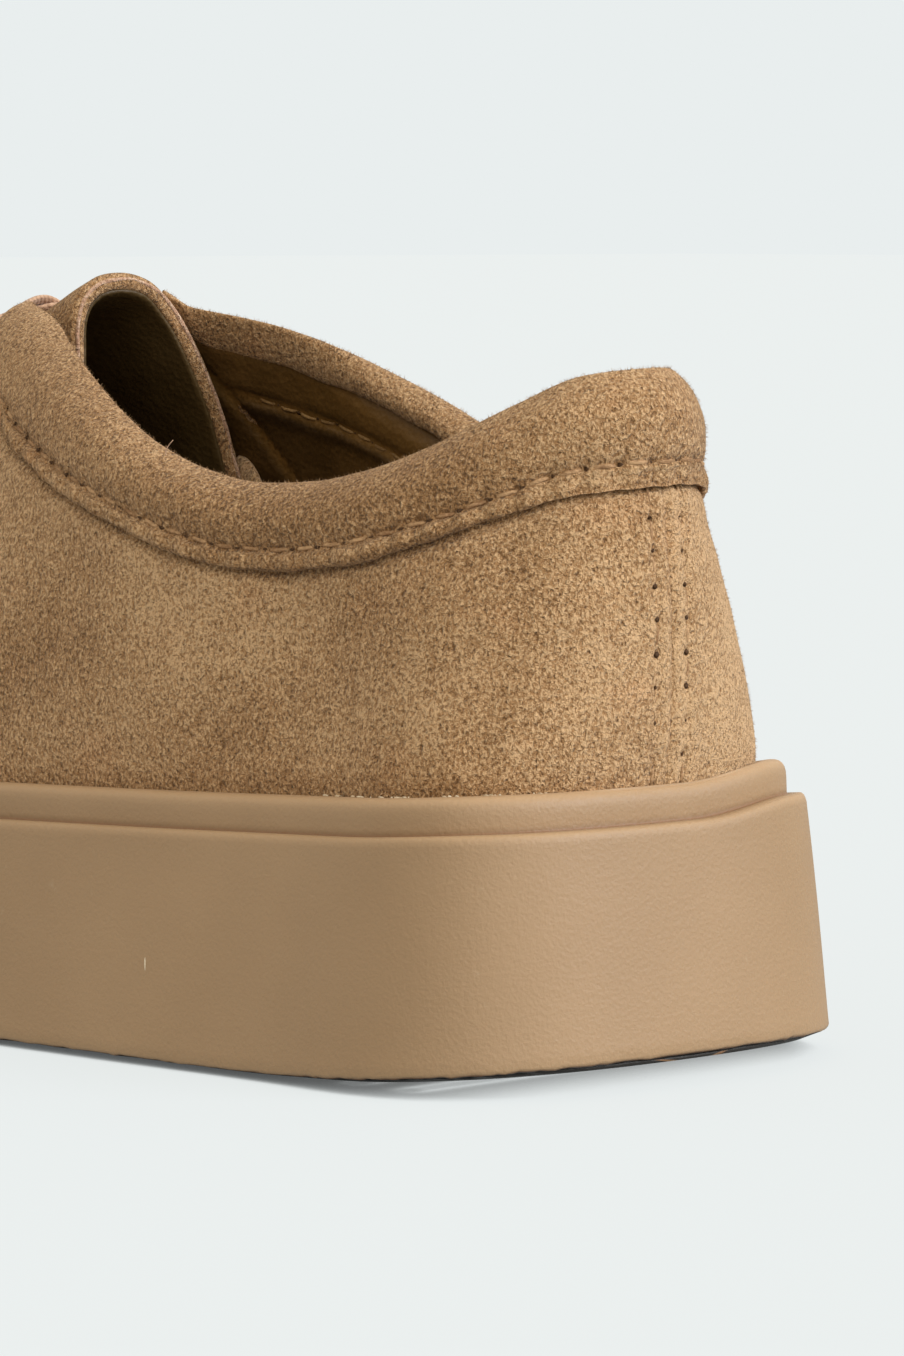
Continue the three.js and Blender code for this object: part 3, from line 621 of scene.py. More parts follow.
def leather_material(name, dark, light, rough=0.52, grain_scale=1100):
    m, nt, sh, co = nodes_of(name)
    c = cells(nt, co, grain_scale)
    f = noise(nt, co, 2400, 2.0, 0.6)
    p = noise(nt, co, 70, 3.0, 0.55)
    tone = attribute(nt, "tone")
    v = calc(nt, "MULTIPLY_ADD", calc(nt, "SUBTRACT", p, 0.5), 0.9, 0.5)
    v = calc(nt, "MULTIPLY_ADD", tone, 0.5, v)
    v = calc(nt, "MULTIPLY_ADD", calc(nt, "SUBTRACT", f, 0.5), 0.35, v)
    nt.links.new(mix(nt, spread(nt, v, 0.0, 1.0), dark, light), sh.inputs["Base Color"])
    nt.links.new(spread(nt, p, 0.3, 0.7, rough - 0.05, rough + 0.08), sh.inputs["Roughness"])
    sh.inputs["Specular IOR Level"].default_value = 0.35
    bumps(nt, sh, [(p, 0.0008), (c, 0.00012), (f, 0.00006)])
    return m


def woven_material(name, dark, light):
    """flat woven cord: attributes run (mm along) and across (mm from the middle)"""
    m, nt, sh, co = nodes_of(name)
    run, across = attribute(nt, "run"), attribute(nt, "across")
    a = calc(nt, "SINE", calc(nt, "MULTIPLY", calc(nt, "ADD", run, calc(nt, "ABSOLUTE", across)), 6.2))
    b = calc(nt, "SINE", calc(nt, "MULTIPLY", across, 8.5))
    h = calc(nt, "MULTIPLY_ADD", a, 0.10, calc(nt, "MULTIPLY_ADD", b, 0.08, 0.5))
    f = noise(nt, co, 1900, 2.5, 0.65)
    v = calc(nt, "MULTIPLY_ADD", calc(nt, "SUBTRACT", f, 0.5), 1.6, h)
    nt.links.new(mix(nt, spread(nt, v, 0.0, 1.0), dark, light), sh.inputs["Base Color"])
    sh.inputs["Roughness"].default_value = 0.85
    sh.inputs["Sheen Weight"].default_value = 0.2
    sh.inputs["Sheen Roughness"].default_value = 0.5
    bumps(nt, sh, [(h, 0.0003), (f, 0.0001)])
    return m


def thread_material(name, dark, light):
    m, nt, sh, co = nodes_of(name)
    f = noise(nt, co, 1800, 2.0, 0.6, stretch=(1, 1, 1.6))
    tone = attribute(nt, "tone")
    v = calc(nt, "MULTIPLY_ADD", tone, 0.5, f)
    nt.links.new(mix(nt, spread(nt, v, 0.2, 0.9), dark, light), sh.inputs["Base Color"])
    sh.inputs["Roughness"].default_value = 0.7
    sh.inputs["Specular IOR Level"].default_value = 0.3
    bumps(nt, sh, [(f, 0.00015)])
    return m


SUEDE_DEEP, SUEDE_MID, SUEDE_LIGHT = lin(116, 82, 49), lin(174, 133, 90), lin(220, 181, 136)
suede = suede_material("suede", SUEDE_DEEP, SUEDE_MID, SUEDE_LIGHT)
raw_edge = suede_material("suede_raw_edge", lin(150, 112, 86), lin(196, 156, 128), lin(226, 196, 168), nap=0.7)
rubber = rubber_material("gum_rubber")
lining = leather_material("lining_leather", lin(50, 32, 9), lin(130, 95, 46))
tongue_lining = leather_material("tongue_lining_leather", lin(58, 42, 18), lin(92, 72, 38))
footbed_leather = leather_material("footbed_leather", lin(92, 68, 38), lin(128, 100, 64), rough=0.6)
thread = thread_material("thread", lin(138, 102, 68), lin(198, 160, 118))
lining_thread = thread_material("lining_thread", lin(128, 96, 56), lin(176, 140, 92))
lace_weave = woven_material("woven_lace", lin(160, 124, 96), lin(210, 172, 140))


def glue_material(name):
    m, nt, sh, co = nodes_of(name)
    film = noise(nt, co, 1800, 2.0, 0.5)
    nt.links.new(mix(nt, spread(nt, film, 0.3, 0.7), lin(204, 182, 148), lin(236, 224, 200)), sh.inputs["Base Color"])
    nt.links.new(spread(nt, film, 0.2, 0.8, 0.40, 0.60), sh.inputs["Roughness"])
    bumps(nt, sh, [(film, 0.00005)])
    return m


dry_glue = glue_material("dry_glue")
# dark discs for the needle holes: painted shade
hole_dark = thread_material("needle_hole", lin(66, 44, 24), lin(92, 64, 38))
# a darker copy of the suede for the eyelets: painted shade in and round their holes
eyelet_rim = suede_material("eyelet_edge", lin(96, 66, 40), lin(140, 102, 68), lin(180, 142, 104), nap=0.6)


# ------------------------------------------------------------------ cupsole
def sole_curve(side):
    """dense outline of one side with its inward normal, over q from 0 (heel) to 3 (toe)"""
    q, pts = [], []
    s1 = SOLE_LENGTH - TOE_CAP

    def put(s, k):
        c = TOE_SWING * smooth(170, SOLE_LENGTH, s)
        wide = (sole_lat(s) - c) if side > 0 else (sole_med(s) + c)
        return np.stack([s, c + side * wide * k], -1)
    a = np.linspace(0, 1, 2500)
    q.append(a[:-1]); x = a[:-1] * np.pi / 2
    pts.append(put(HEEL_CAP * (1 - np.cos(x) ** (2 / HEEL_BLUNT)), np.sin(x) ** (2 / HEEL_BLUNT)))
    q.append(1 + a[:-1]); pts.append(put(HEEL_CAP + (s1 - HEEL_CAP) * a[:-1], 1.0))
    q.append(2 + a); x = a * np.pi / 2
    pts.append(put(s1 + TOE_CAP * np.sin(x) ** (2 / TOE_BLUNT), np.maximum(np.cos(x), 0) ** (2 / TOE_BLUNT)))
    q, P = np.concatenate(q), np.concatenate(pts)
    t = P[np.minimum(np.arange(len(P)) + 6, len(P) - 1)] - P[np.maximum(np.arange(len(P)) - 6, 0)]
    t = t / np.linalg.norm(t, axis=1)[:, None]
    n = np.stack([t[:, 1], -t[:, 0]], -1) * side
    n[0], n[-1] = (1, 0), (-1, 0)
    return q, P, n


def cup_line(side, t):
    u = np.concatenate([np.linspace(0, 1, 240), np.linspace(1, 2, 200)[1:], np.linspace(2, 3, 240)[1:]])
    return inner(u, side * 1.35, np.full(len(u), t))[:, :2]


def make_sole():
    grooves = [g for a, b in ((22, 94), (158, 266)) for g in np.arange(a, b + 0.1, 9)]
    s1 = SOLE_LENGTH - TOE_CAP
    q = list(np.linspace(0, 1, 54)) + list(2 + np.linspace(0, 1, 60))
    mids = list(np.linspace(HEEL_CAP, s1, 76)[1:-1])
    marks = [g + d for g in grooves for d in (-1.16, -1.04, 1.04, 1.16)]
    for s in marks:
        if s < HEEL_CAP:
            q.append(math.acos(max(0.0, 1 - s / HEEL_CAP) ** (HEEL_BLUNT / 2)) / (math.pi / 2))
        elif s > s1:
            q.append(2 + math.asin(((s - s1) / TOE_CAP) ** (TOE_BLUNT / 2)) / (math.pi / 2))
        else:
            mids.append(s)
    q += [1 + (s - HEEL_CAP) / (s1 - HEEL_CAP) for s in mids]
    q = np.array(sorted(q))
    keep = [0]
    for i in range(1, len(q)):
        if q[i] - q[keep[-1]] > 2.5e-4:
            keep.append(i)
    q = q[keep]
    q[-1] = 3.0
    sides = {}
    for side in (1, -1):
        qd, Pd, nd = sole_curve(side)
        P = np.stack([np.interp(q, qd, Pd[:, k]) for k in (0, 1)], -1)
        n = np.stack([np.interp(q, qd, nd[:, k]) for k in (0, 1)], -1)
        sides[side] = (P, n / np.linalg.norm(n, axis=1)[:, None])
    P = np.concatenate([sides[1][0], sides[-1][0][1:-1][::-1]])
    n = np.concatenate([sides[1][1], sides[-1][1][1:-1][::-1]])
    R, Q = len(P), len(q)
    # distance from each point, square to the outline, to the wall of the cup
    line = np.concatenate([cup_line(1, -GAP - 0.06), cup_line(-1, -GAP - 0.06)[::-1]])
    a, b = line, np.roll(line, -1, 0)
    e = b - a
    den = n[:, None, 0] * e[None, :, 1] - n[:, None, 1] * e[None, :, 0]
    d = a[None] - P[:, None]
    den = np.where(np.abs(den) < 1e-12, 1e-12, den)
    t = (d[..., 0] * e[None, :, 1] - d[..., 1] * e[None, :, 0]) / den
    v = (d[..., 0] * n[:, None, 1] - d[..., 1] * n[:, None, 0]) / den
    t = np.where((v >= -1e-6) & (v <= 1 + 1e-6) & (t > 3) & (t < 20), t, 99)
    reach = t.min(1)
    bad = reach > 20
    reach[bad] = np.median(reach[~bad])
    pull = Waves(5, 60)

    def ring(off, z, tone=0.0):
        o = off if isinstance(off, np.ndarray) else np.full(R, float(off))
        o = np.where(o < 5.0, o * in_heel, o)
        p = P + n * o[:, None]
        return np.column_stack([p, z(p[:, 0])]), np.full(R, tone)
    und = under_z
    rim = rim_z
    g = lambda s: rim_z(s) - STRIP
    in_heel = 1 - 0.20 * smooth(30, 2, P[:, 0])
    # the cut lower edge stands a little off the floor round the heel
    off_floor = lambda s: smooth(104, 84, s)
    rows = [ring(1.15, lambda s: und(s) + 0.62 * off_floor(s)), ring(0.50, lambda s: und(s) + 0.18 + 0.60 * off_floor(s)),
            ring(0.24, lambda s: und(s) + 0.46 + 0.48 * off_floor(s), 0.1), ring(0.10, lambda s: und(s) + 0.95 + 0.3 * off_floor(s), 0.1)]
    # the lowest rows get a dark tone round the heel: a painted contact shadow with a ragged edge
    ragged = Waves(61, 1.8)
    for r, contact_shade in zip(rows[:3], (-2.3, -1.1, 0.0)):
        r[0][:, 2] += 0.13 * ragged(r[0] * np.array([1, 1, 0])) * off_floor(r[0][:, 0])
        r[1][:] += contact_shade * off_floor(r[0][:, 0])
    for k in np.linspace(0, 1, 17)[1:]:
        off = 0.10 + (WALL_FLARE - 0.25 - 0.10) * k - 0.18 * math.sin(math.pi * k)
        rows.append(ring(off, lambda s, k=k: (und(s) + 0.95) + (g(s) - 2.1 - und(s) - 0.95) * k))
    # tones of these rows: painted highlight on the wall's top lip and on the rim's top, painted shade in the groove
    # between them
    rows += [ring(3.95, lambda s: g(s) - 1.35), ring(4.10, lambda s: g(s) - 0.80, 0.15), ring(4.36, lambda s: g(s) - 0.36, 0.35),
             ring(4.74, lambda s: g(s) - 0.10, 0.35), ring(5.20, lambda s: g(s) - 0.03, 0.1), ring(5.62, lambda s: g(s) - 0.16, -0.5),
             ring(5.86, lambda s: g(s) - 0.12, -0.9), ring(5.93, lambda s: g(s) + 0.25, -0.5), ring(5.94, lambda s: g(s) + 0.9),
             ring(5.98, lambda s: rim(s) - 2.6), ring(6.06, lambda s: rim(s) - 1.75), ring(6.24, lambda s: rim(s) - 1.10, 0.1),
             ring(6.56, lambda s: rim(s) - 0.58, 0.45), ring(7.0, lambda s: rim(s) - 0.22, 0.7), ring(7.5, lambda s: rim(s) - 0.04, 0.75)]
    # across the rim's top: painted highlight fading to painted shade at the cup's edge
    rows += [ring(7.5 + (reach - 7.5) * f, lambda s, dz=dz: rim(s) + dz, tn) for f, dz, tn in
             ((0.30, 0.03, 0.6), (0.60, 0.0, 0.45), (0.82, -0.10, 0.1), (0.95, -0.36, -0.4), (1.0, -0.9, -0.6))]
    # down the cup's wall to its floor, toned as painted shade
    rows += [ring(reach, lambda s: rim(s) - 4.0, -0.6), ring(reach, lambda s: cup_floor(s) + 1.0, -0.6), ring(reach + 0.6, cup_floor, -0.5)]
    V = [r[0] for r in rows]
    T = [r[1] for r in rows]
    F = []
    for k in range(len(rows) - 1):
        i = np.arange(R)
        F.append(np.stack([k * R + i, k * R + (i + 1) % R, (k + 1) * R + (i + 1) % R, (k + 1) * R + i], -1))
    base = len(rows) * R

    def across(row, shape, flip):
        """grid between the two sides of a ring"""
        nonlocal base
        lat = V[row][:Q]
        med = np.concatenate([V[row][:1], V[row][Q:][::-1], V[row][Q - 1:Q]])
        wide = np.maximum(lat[:, 1] - med[:, 1], 1e-6)
        ds = shape(wide)                      # Q x columns, distance from the outer side
        f = ds / wide[:, None]
        G = lat[:, None] * (1 - f[..., None]) + med[:, None] * f[..., None]
        edge = np.minimum(ds, wide[:, None] - ds)
        return G, edge
    # underside with its tread grooves; its tone is painted shade in the grooves and a painted contact shadow near its
    # edge round the heel
    cols = np.concatenate([[0.0, 3.2, 6.86, 7.0], [None] * 9])

    def tread_cols(wide):
        a = np.minimum(np.array([0.0, 3.2, 6.86, 7.0])[None], wide[:, None] * 0.49 * np.array([0, 0.5, 0.98, 1.0])[None])
        a = np.where(wide[:, None] * 0.49 < 7.0, wide[:, None] * 0.49 * np.array([0, 0.5, 0.98, 1.0])[None], np.array([0.0, 3.2, 6.86, 7.0])[None])
        mid = a[:, -1:] + (wide[:, None] - 2 * a[:, -1:]) * np.linspace(0, 1, 10)[None, 1:-1]
        return np.concatenate([a, mid, wide[:, None] - a[:, ::-1]], 1)
    G, edge = across(0, tread_cols, False)
    s = G[..., 0]
    ing = np.zeros_like(s, bool)
    for gr in grooves:
        ing |= np.abs(s - gr) < 1.10
    depth = np.where(ing & (edge >= 6.99), 1.6, 0.0)
    G[:, 1:-1, 2] = under_z(G[:, 1:-1, 0]) + depth[:, 1:-1]
    m, nn = G.shape[:2]
    V.append(G.reshape(-1, 3)); T.append((-0.6 * (depth > 0) - 2.3 * (edge < 3.3) * off_floor(s)).reshape(-1))
    F.append(quads(m, nn, base=base)); base += m * nn
    # floor of the cup, toned as painted shade
    G, edge = across(len(rows) - 1, lambda wide: wide[:, None] * np.linspace(0, 1, 10)[None], True)
    m, nn = G.shape[:2]
    V.append(G.reshape(-1, 3)); T.append(np.full(m * nn, -0.5))
    F.append(quads(m, nn, base=base, flip=True)); base += m * nn
    V, T = np.concatenate(V), np.concatenate(T)
    # the long wall isn't ruler straight
    outer = (V[:, 2] > under_z(V[:, 0]) + 2) & (V[:, 2] < rim_z(V[:, 0]) - 6)
    V[:, 1] += np.where(outer, 0.10 * pull(V), 0) * np.sign(V[:, 1])
    # the rim sits a little higher at the inner corner of the heel
    V[:, 2] += 1.7 * smooth(36, 6, V[:, 0]) * smooth(-4, -24, V[:, 1]) * smooth(8, 33, V[:, 2])
    # dried glue along the joint on the outer side, and a light mark on the wall
    spots = Joined()
    rnd = np.random.RandomState(12)
    joint = rows[-6][0]
    joint = joint[joint[:, 1] > 6]
    for s in rnd.uniform(10, 40, 30):
        p = joint[np.argmin(np.abs(joint[:, 0] - s))] + np.array([0, rnd.uniform(-0.2, 0.3), 0.10])
        spots.tube(p + np.linspace(-1, 1, 5)[:, None] * np.array([rnd.uniform(0.1, 0.7), rnd.uniform(-0.1, 0.1), 0.0]),
                   rnd.uniform(0.07, 0.16) * np.array([0.3, 0.85, 1, 0.85, 0.3]), np.tile([0.1, 0.2, 0.97], (5, 1)), sides=6, tone=0.8)
    wall = V[4 * R:20 * R]
    wall = wall[wall[:, 1] > 0]
    k = np.argmin((wall[:, 0] - (60 - 1.2 * (wall[:, 1] - 44))) ** 2 + (wall[:, 2] - (14.6 + 0.2 * (wall[:, 1] - 44))) ** 2)
    spots.tube(wall[k] + np.linspace(-1, 1, 7)[:, None] * np.array([0.12, -0.10, 0.85]),
               0.12 * np.array([0.3, 0.7, 0.9, 1, 0.9, 0.7, 0.3]), np.tile([0.1, 0.97, 0.1], (7, 1)), sides=6, tone=0.8)
    build("sole_specks", np.concatenate(spots.V), spots.F, dry_glue, tone=np.concatenate(spots.tone), flip=False)
    ob = build("cupsole_rubber", V, [list(map(int, f)) for f in np.concatenate(F)], rubber, tone=T)
    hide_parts("cupsole")
    return ob


COLLAR_END = 124.5
STRAY_S = 72.3


def band_width(s):
    """the band widens again towards the facing's corner"""
    return band_at(s) + np.interp(s, [80, 88, 100, 110, 121, 126], [0, 0.9, 2.6, 3.8, 5.0, 5.2])


# ------------------------------------------------------------------ relief
ripple, dimple, drift = Waves(11, 16), Waves(12, 6.5), Waves(13, 34)

# soft troughs (depth < 0) and ridges on the quarters: side, points (s, z), depth, width
CREASES = [
    (1, [(17, 70), (15.5, 60), (16.5, 50), (17, 42)], -0.28, 2.6),
    (1, [(24, 72), (27, 62), (26, 52), (24, 44)], 0.22, 4.0),
    (1, [(36, 62), (42, 54), (50, 47), (58, 42)], -0.30, 4.5),
    (1, [(62, 62), (66, 54), (72, 47), (82, 42)], 0.25, 5.0),
    (1, [(84, 66), (90, 58), (98, 50), (104, 42)], -0.35, 5.0),
    (1, [(101, 76), (108, 66), (114, 56), (118, 46)], 0.35, 6.0),
    (1, [(110, 74), (117, 64), (122, 54), (124, 45)], -0.40, 4.0),
    (-1, [(20, 72), (22, 60), (21, 46)], -0.30, 3.0),
    (-1, [(44, 66), (52, 56), (62, 46)], -0.35, 5.0),
    (-1, [(88, 72), (98, 58), (106, 46)], -0.40, 5.0),
    (-1, [(108, 76), (118, 62), (126, 48)], 0.35, 6.0),
]


def polyline_distance(P, line):
    best = np.full(len(P), 1e9)
    for a, b in zip(line[:-1], line[1:]):
        ab = b - a
        t = np.clip(((P - a) @ ab) / (ab @ ab), 0, 1)
        best = np.minimum(best, np.linalg.norm(P - (a + t[:, None] * ab), axis=1))
    return best


def crease_field(P, side):
    """height of the listed creases at points on the skin, and their tone: painted shade in the troughs, painted
    highlight on the ridges
    """
    flat = P.reshape(-1, 3)
    h, tone = np.zeros(len(flat)), np.zeros(len(flat))
    for sd, pts, depth, width in CREASES:
        if sd != side:
            continue
        line = []
        t = np.linspace(0, len(pts) - 1, 24)
        for x in t:
            i = min(int(x), len(pts) - 2)
            f = x - i
            s = pts[i][0] * (1 - f) + pts[i + 1][0] * f
            z = pts[i][1] * (1 - f) + pts[i + 1][1] * f
            line.append((s, z))
        line = np.array(line)
        d = polyline_distance(np.column_stack([flat[:, 0], flat[:, 2], 0 * flat[:, 0]]), np.column_stack([line, 0 * line[:, 0]]))
        fade = smooth(0, 5, flat[:, 2] - pts[-1][1] + 4)
        h += depth * bump(d, width) * fade
        tone += 0.5 * depth * bump(d, width) * fade
    return h.reshape(P.shape[:-1]), tone.reshape(P.shape[:-1])


# lighter and darker patches of the outer side: s, z, reach along, reach up, tone
PATCHES = [
    (112, 80, 12, 10, 0.30), (100, 66, 10, 12, -0.10), (92, 52, 14, 8, -0.30), (112, 48, 12, 8, -0.25),
    (80, 58, 10, 14, -0.14), (74, 46, 10, 6, 0.10), (66, 66, 12, 6, 0.08), (52, 58, 8, 8, 0.20),
    (42, 50, 8, 8, 0.10), (57, 43, 10, 4, -0.30), (34, 60, 8, 10, -0.10), (30, 44, 8, 6, 0.06),
    (60, 72, 14, 4, -0.15), (24, 58, 5, 10, 0.15), (86, 72, 8, 6, 0.05), (8, 60, 4, 14, 0.12),
    (17, 50, 9, 15, 0.42), (60, 56, 10, 9, 0.26), (7, 50, 5, 20, 0.16),
]


def patch_tone(P, side):
    t = 0.10 * drift(P)
    # the inner side lighter towards the heel's back: painted highlight
    if side < 0:
        t = t + 0.62 * smooth(34, 10, P[..., 0])
    if side > 0:
        for s, z, a, b, k in PATCHES:
            q = P + 2.0 * np.stack([dimple(P), dimple(P + 7), dimple(P + 13)], -1)
            t = t + k * np.exp(-((q[..., 0] - s) / a) ** 2 - ((q[..., 2] - z) / b) ** 2)
    return t


EYELET_PLACES = [(s, side, form_centre(s) + side * (throat_half(s) + e * 0.8)) for s, e in EYELETS for side in (1, -1)]


def skin_at(s, w):
    """point and normal of the form's skin above a place in plan"""
    c = form_centre(s)
    side = np.where(w >= c, 1.0, -1.0)
    lo, hi = rim_z(s) + 0 * w, top_at(s) + 0 * w
    for _ in range(44):
        m = (lo + hi) / 2
        wide = form_half(s, m, side) > np.abs(w - c)
        lo, hi = np.where(wide, m, lo), np.where(wide, hi, m)
    b = b_of(u_of(s), side, (lo + hi) / 2)
    return np.stack([s + 0 * w, w, (lo + hi) / 2], -1), normal(u_of(s), b)


# ------------------------------------------------------------------ quarters
def front_edge(v):
    """the quarter's front edge: s at share v of the height, foot to throat"""
    return 150.0 + 28.6 * np.asarray(v, float) ** 0.85


def wall_columns(side, back_off=0.0, top="lap", s_first=110.0, count=76, step=0.85, rows=62, throat_extra=0.0, seam=True):
    """grid on one side from the back seam to the quarter's front edge, foot to top edge.
    Returns u, b (columns x rows) and the height share v"""
    ud = np.linspace(0, u_of(s_first), 900)
    path = skin(ud, b_of(ud, side, np.full(900, 62.0)))
    marks, arc = even(path, [(4.6, 0.42), (6.0, 0.6)] if seam else [(6.0, 0.8)], step)
    u0 = np.interp(marks, arc, ud)
    tau = np.linspace(0, 1, count + 1)[1:]
    tops = 0 * u0, None
    U, B = [], []
    v = np.linspace(0, 1, 90)
    cols = [("a", x) for x in u0] + [("b", x) for x in tau]
    uu = []
    for kind, x in cols:
        if kind == "a":
            uu.append(np.full(90, x))
        else:
            S = s_first + (front_edge(v) - back_off - s_first) * x
            uu.append(u_of(S))
    uu = np.array(uu)
    utop = uu[:, -1]
    stop = station(utop)[0]
    d = Down(utop, side)
    band = band_at(d.s)
    lap = np.maximum(band - LAP, 0.5) if top == "lap" else np.full(len(band), 5.2)
    k_lap = np.abs(d.b(lap[:, None]))[:, 0]
    k_thr = throat_k(np.maximum(stop, 118), side, throat_extra)
    ktop = np.where(stop <= COLLAR_END + 0.3, k_lap, k_thr)
    kk = 1 + (ktop[:, None] - 1) * v[None]
    P = skin(uu, side * kk)
    arc = np.concatenate([np.zeros((len(uu), 1)), np.cumsum(np.linalg.norm(np.diff(P, axis=1), axis=-1), 1)], 1)
    at = np.linspace(0, 1, rows)
    at = at + 0.10 * np.sin(np.pi * at) ** 2 * 0  # even rows
    vv = np.array([np.interp(at * a[-1], a, v) for a in arc])
    U = np.array([np.interp(vv[i], v, uu[i]) for i in range(len(uu))])
    K = 1 + (ktop[:, None] - 1) * vv
    return U, side * K, vv, arc[:, -1]


def with_foot(U, B, low_extra=0.0, levels=5):
    """adds rows down into the cup"""
    s = station(U[:, 0])[0]
    deep = 1 + (rim_z(s) - (cup_floor(s) + GAP + low_extra)) / DOWN
    f = np.linspace(0, 1, levels + 1)[:-1]
    side = np.sign(B[0, 0])
    K = deep[:, None] * (1 - f) + 1.0 * f
    return np.concatenate([U[:, :1] + 0 * K, U], 1), np.concatenate([side * K, B], 1)


def raise_front(P, U, side):
    """the quarter lies on the vamp, so its skin lifts towards its front edge"""
    s, z = P[..., 0], P[..., 2]
    return 1.25 * smooth(122, 150, s) * smooth(1.5, 9, z - rim_z(s))


def seam_relief(P, side, U):
    """the butt seam down the heel with its two stitch rows; the tone it returns is painted shade in the groove and the
    stitch dimples and painted highlight on the swells
    """
    a = np.abs(P[..., 1] - HEEL_CENTRE)
    near = (U < 0.6) * smooth(16, 11, P[..., 0])
    pitch = 4.4
    ph = np.cos(2 * np.pi * (P[..., 2] - 38.0) / pitch)
    wob = 0.30 * dimple(P + 90)
    groove = -0.26 * bump(a + 0.3 * wob, 0.45)
    pull = np.maximum(0, ph) ** 3
    row = -(0.12 + 0.42 * pull) * bump(a - 2.75 + wob, 0.62)
    swell = 0.22 * bump(a - 1.45, 0.85) * (1 - 0.6 * pull) + 0.20 * bump(a - 4.2, 1.2) * (1 - 0.7 * pull)
    return near * (groove + row + swell), near * (-0.35 * bump(a, 0.45) - 0.75 * pull * bump(a - 2.75 + wob, 0.55) + 0.35 * bump(a - 1.4, 0.9) * (1 - pull))


def quarter_height(P, U, side):
    """relief of the quarter's face above the form's skin"""
    c, ct = crease_field(P, side)
    r, rt = seam_relief(P, side, U)
    z, s = P[..., 2], P[..., 0]
    foot = z - rim_z(s)
    live = smooth(-1, 5, foot)
    h = live * (c + 0.13 * ripple(P) + 0.055 * dimple(P)) + r
    h = h - 0.22 * bump(foot - 0.6, 2.0)
    # the tone: the creases' and the seam's painted shade and highlight, the patches, and painted shade just above the
    # rim where the upper goes into the cup
    t = ct * 1.0 + rt + patch_tone(P, side) - 0.35 * bump(foot, 1.6)
    # the skin is pressed in along the band's lower edge, with painted shade right under the edge and a little painted
    # highlight lower down
    u_top, inv = np.unique(np.abs(U[:, -1]), return_inverse=True)
    dn = Down(u_top, side)
    edge_k = np.abs(dn.b(band_width(dn.s)[:, None]))[:, 0][inv]
    edge_k = np.where(s[:, -1] < COLLAR_END + 1, edge_k, 9.0)
    edge = skin(np.abs(U[:, -1]), side * edge_k)
    below = (edge[:, None, 2] - z) * 1.02
    h = h - 0.42 * bump(below - 0.25, 0.75) + 0.16 * bump(below - 3.0, 1.8)
    t = t - 0.75 * bump(below - 0.2, 0.7) + 0.10 * bump(below - 2.6, 1.6)
    # round each eyelet the skin dips, with painted shade around the hole
    for es, sd, ew in EYELET_PLACES:
        if sd != side:
            continue
        p, n = skin_at(np.array(es), np.array(ew))
        d = np.linalg.norm(P - p, axis=-1)
        h = h - 1.15 * smooth(2.5, 1.7, d) - 0.25 * bump(d - 2.9, 1.4)
        t = t - 0.5 * bump(d, 3.4)
    return h, t


def make_quarter(side, name):
    U, B, vv, length = wall_columns(side, rows=66)
    U, B = with_foot(U, B)
    P = skin(U, B)
    N = normal(U, B)
    h, t = quarter_height(P, U, side)
    lift = raise_front(P, U, side)
    O = P + N * (lift + h)[..., None]
    I = P + N * (lift - 1.25 + 0.3 * np.minimum(h, 0))[..., None]
    V, F = shell(O, I, bulge=0.35)
    t = t + (0.30 - 0.14 * smooth(38, 14, P[..., 0]) if side > 0 else 0.08)
    tone = shell_values(t, *O.shape[:2], len(V))
    m, n = O.shape[:2]
    rim_pts = np.arange(len(V)) >= 2 * m * n
    tone = np.where(rim_pts, tone + 0.35, tone)
    ob = build(name, V, F, suede, tone=tone)
    return ob, (U, B, P, N, lift, h)


def quarter_rows(threads, holes, data, side):
    """stitches along the quarter's front edge and the facing"""
    U, B, P, N, lift, h = data
    S = P + N * (lift + h)[..., None]
    m = len(P)
    for back, seed in ((2.2, 3), (5.0, 4)):
        pts, nrm = [], []
        for j in range(7, P.shape[1] - 4):
            arc = np.concatenate([[0], np.cumsum(np.linalg.norm(np.diff(S[::-1, j], axis=0), axis=1))])
            i = np.interp(back, arc, np.arange(m))
            a = m - 1 - i
            i0 = int(math.floor(a)); f = a - i0
            i1 = min(i0 + 1, m - 1)
            pts.append(S[i0, j] * (1 - f) + S[i1, j] * f)
            nrm.append(N[i0, j])
        pts, nrm = np.array(pts), np.array(nrm)
        stitch_row(threads, holes, pts, nrm, 3.4, radius=0.26, lift=0.03, seed=seed + (side > 0) * 10)
    # facing
    i_from = int(np.searchsorted(station(U[:, -1])[0], COLLAR_FRONT + 3.0))
    pts, nrm = [], []
    for i in range(i_from, m - 6):
        arc = np.concatenate([[0], np.cumsum(np.linalg.norm(np.diff(S[i, ::-1], axis=0), axis=1))])
        a = P.shape[1] - 1 - np.interp(2.3, arc, np.arange(P.shape[1]))
        j0 = int(math.floor(a)); f = a - j0
        j1 = min(j0 + 1, P.shape[1] - 1)
        pts.append(S[i, j0] * (1 - f) + S[i, j1] * f)
        nrm.append(N[i, j0])
    if len(pts) > 8:
        stitch_row(threads, holes, np.array(pts), np.array(nrm), 3.4, radius=0.26, lift=0.03, seed=9 + (side > 0))


